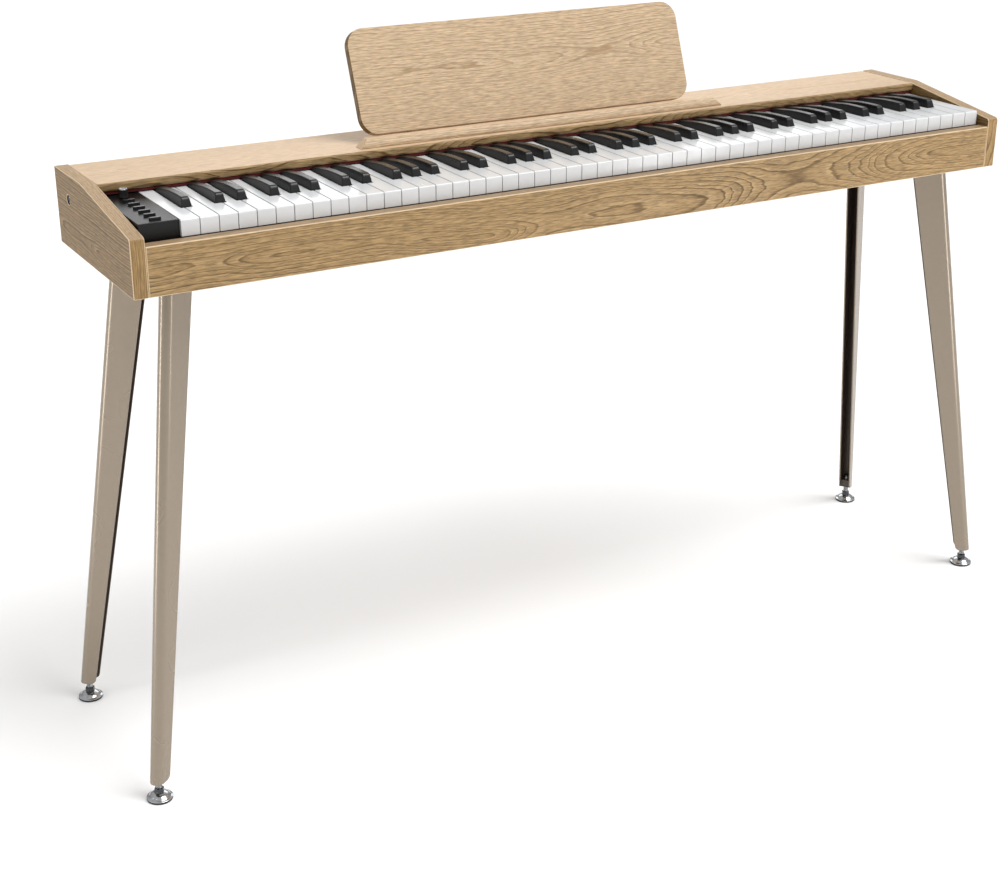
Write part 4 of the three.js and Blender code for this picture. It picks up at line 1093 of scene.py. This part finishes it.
on_case(soften(usb, 0.15 * MM, 2), "black_plastic")
tongue = block_at("socket_data_tongue", PLATE_MIDDLE, ((32.2, 37.8), (-1.8, -0.4), (-1.4, 1.4)),
                  [socket_plastic])
on_case(soften(tongue, 0.2 * MM, 2), "black_plastic")
PLATE_SCREWS = ((-64.5, -16.5), (64.5, -16.5), (-64.5, 16.5), (64.5, 16.5))
for i, (x, z) in enumerate(PLATE_SCREWS):
    place = (JACK_X + x * MM, face_y - 0.9 * MM, JACK_Z + z * MM)
    head = socket_screw(f"socket_screw_{i + 1}", place, "+y", 2.0 * MM, 0.9 * MM, [zinc])
    on_case(head, "black_plastic")

# ---------- underside: speakers and their grilles ----------
GRILLE_DROP = 10.5 * MM
GRILLE_RINGS = (8, 14, 20, 26, 32)
GRILLE_SPOKES = 12
for side in ("left", "right"):
    low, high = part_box(f"speaker_{side}")
    x, y = (low.x + high.x) / 2, (low.y + high.y) / 2
    seat = low.z
    centre = (x, y, seat)
    top = high.z - seat
    basket = turned(f"speaker_basket_{side}", [
        (40.0 * MM, 0), (46.0 * MM, 0), (46.0 * MM, 2.6 * MM), (42.0 * MM, 3.4 * MM), (39.0 * MM, 5.0 * MM),
        (24.5 * MM, top - 7 * MM), (24.5 * MM, top), (0, top), (0, top - 1.5 * MM),
        (23.5 * MM, top - 1.5 * MM), (23.5 * MM, top - 7.6 * MM),
        (37.6 * MM, 4.4 * MM), (40.0 * MM, 2.2 * MM), (40.0 * MM, 0)], [frame_plastic], 64, centre)
    on_case(basket, "speaker_cone", f"speaker_{side}")
    bows = [math.radians(t) for t in range(0, 181, 15)]
    surround = mm([(36 + 4 * math.cos(t), 1.2 + 1.6 * math.sin(t)) for t in bows])
    ring = turned(f"speaker_surround_{side}", surround
                  + [(r, h - 0.6 * MM) for r, h in reversed(surround)] + surround[:1], [rubber], 64, centre)
    on_case(ring, "speaker_cone")
    cone = turned(f"speaker_paper_{side}", mm([
        (32.4, 1.2), (26, 3.4), (19, 6.6), (12.5, 10.0), (12.0, 9.2), (9.5, 7.4), (6, 6.3), (0, 5.8),
        (0, 6.4), (9.0, 8.2), (12.3, 10.8), (19.4, 7.3), (26.3, 4.1), (32.6, 1.9), (32.4, 1.2)
    ]), [cone_paper], 64, centre)
    on_case(cone, "speaker_cone")
    parts = []
    grille_z = seat - GRILLE_DROP
    for r in GRILLE_RINGS:
        wire = mm([(r - 0.5, 0), (r + 0.5, 0), (r + 0.5, 1), (r - 0.5, 1), (r - 0.5, 0)])
        parts.append(turned("wire", wire, [housing_plastic], 48, (x, y, grille_z)))
    parts.append(turned("rim", mm([
        (38, 0), (40.6, 0), (40.6, 8), (39.4, 8), (39.4, 1.6), (38, 1.2), (38, 0)
    ]), [housing_plastic], 64,
                        (x, y, grille_z)))
    for i in range(GRILLE_SPOKES):
        spoke = block("spoke", *mm([(7.5, 38.4), (-0.6, 0.6), (0.1, 0.9)]), [housing_plastic])
        heading = Matrix.Rotation(i * math.pi / (GRILLE_SPOKES // 2), 4, "Z")
        spoke.data.transform(Matrix.Translation((x, y, grille_z)) @ heading)
        parts.append(spoke)
    on_case(join(f"speaker_grille_{side}", parts), "speaker_cone")

# ---------- CAD nodes that stay: softened edges and their own finish ----------
# node: its material and its edge radius in millimetres
KEPT = {
    "bottom_board": (oak_back, 0.8), "key_frame": (frame_plastic, 0.4),
    "key_sensor_board": (circuit_green, 0.2), "main_circuit_board": (circuit_green, 0.2),
    "music_rest_pin_left": (steel, 0.4), "music_rest_pin_right": (steel, 0.4),
}
for node, (material, radius) in KEPT.items():
    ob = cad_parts[node]
    ob.data.materials.clear()
    ob.data.materials.append(material)
    ob.modifiers.new("weld", "WELD").merge_threshold = 0.01 * MM
    flat = ob.modifiers.new("flat", "DECIMATE")
    flat.decimate_type = "DISSOLVE"
    flat.angle_limit = math.radians(1.0)
    edges = ob.modifiers.new("edges", "BEVEL")
    edges.width = radius * MM
    edges.segments = 2
    edges.limit_method = "ANGLE"
    edges.angle_limit = math.radians(50)
    ob.modifiers.new("normals", "WEIGHTED_NORMAL")

# ---------- floor ----------
floor_look = Look("floor", Roughness=0.6, Specular_IOR_Level=0.15)
shade_noise = floor_look.noise(floor_look.place, 0.6, 2.0)
floor_look.colour(floor_look.spread(shade_noise, (0.93, 0.93, 0.93), (0.90, 0.90, 0.90)))
FLOOR = 60.0  # half the floor's side, far past the picture's edge
FLOOR_DROP = 0.0002  # keeps the floor clear of the pads that stand on it
floor = mesh_piece("floor", [(-FLOOR, -FLOOR, 0), (FLOOR, -FLOOR, 0), (FLOOR, FLOOR, 0), (-FLOOR, FLOOR, 0)],
                   [(0, 1, 2, 3)], [floor_look.mat])
floor.location.z = -FLOOR_DROP
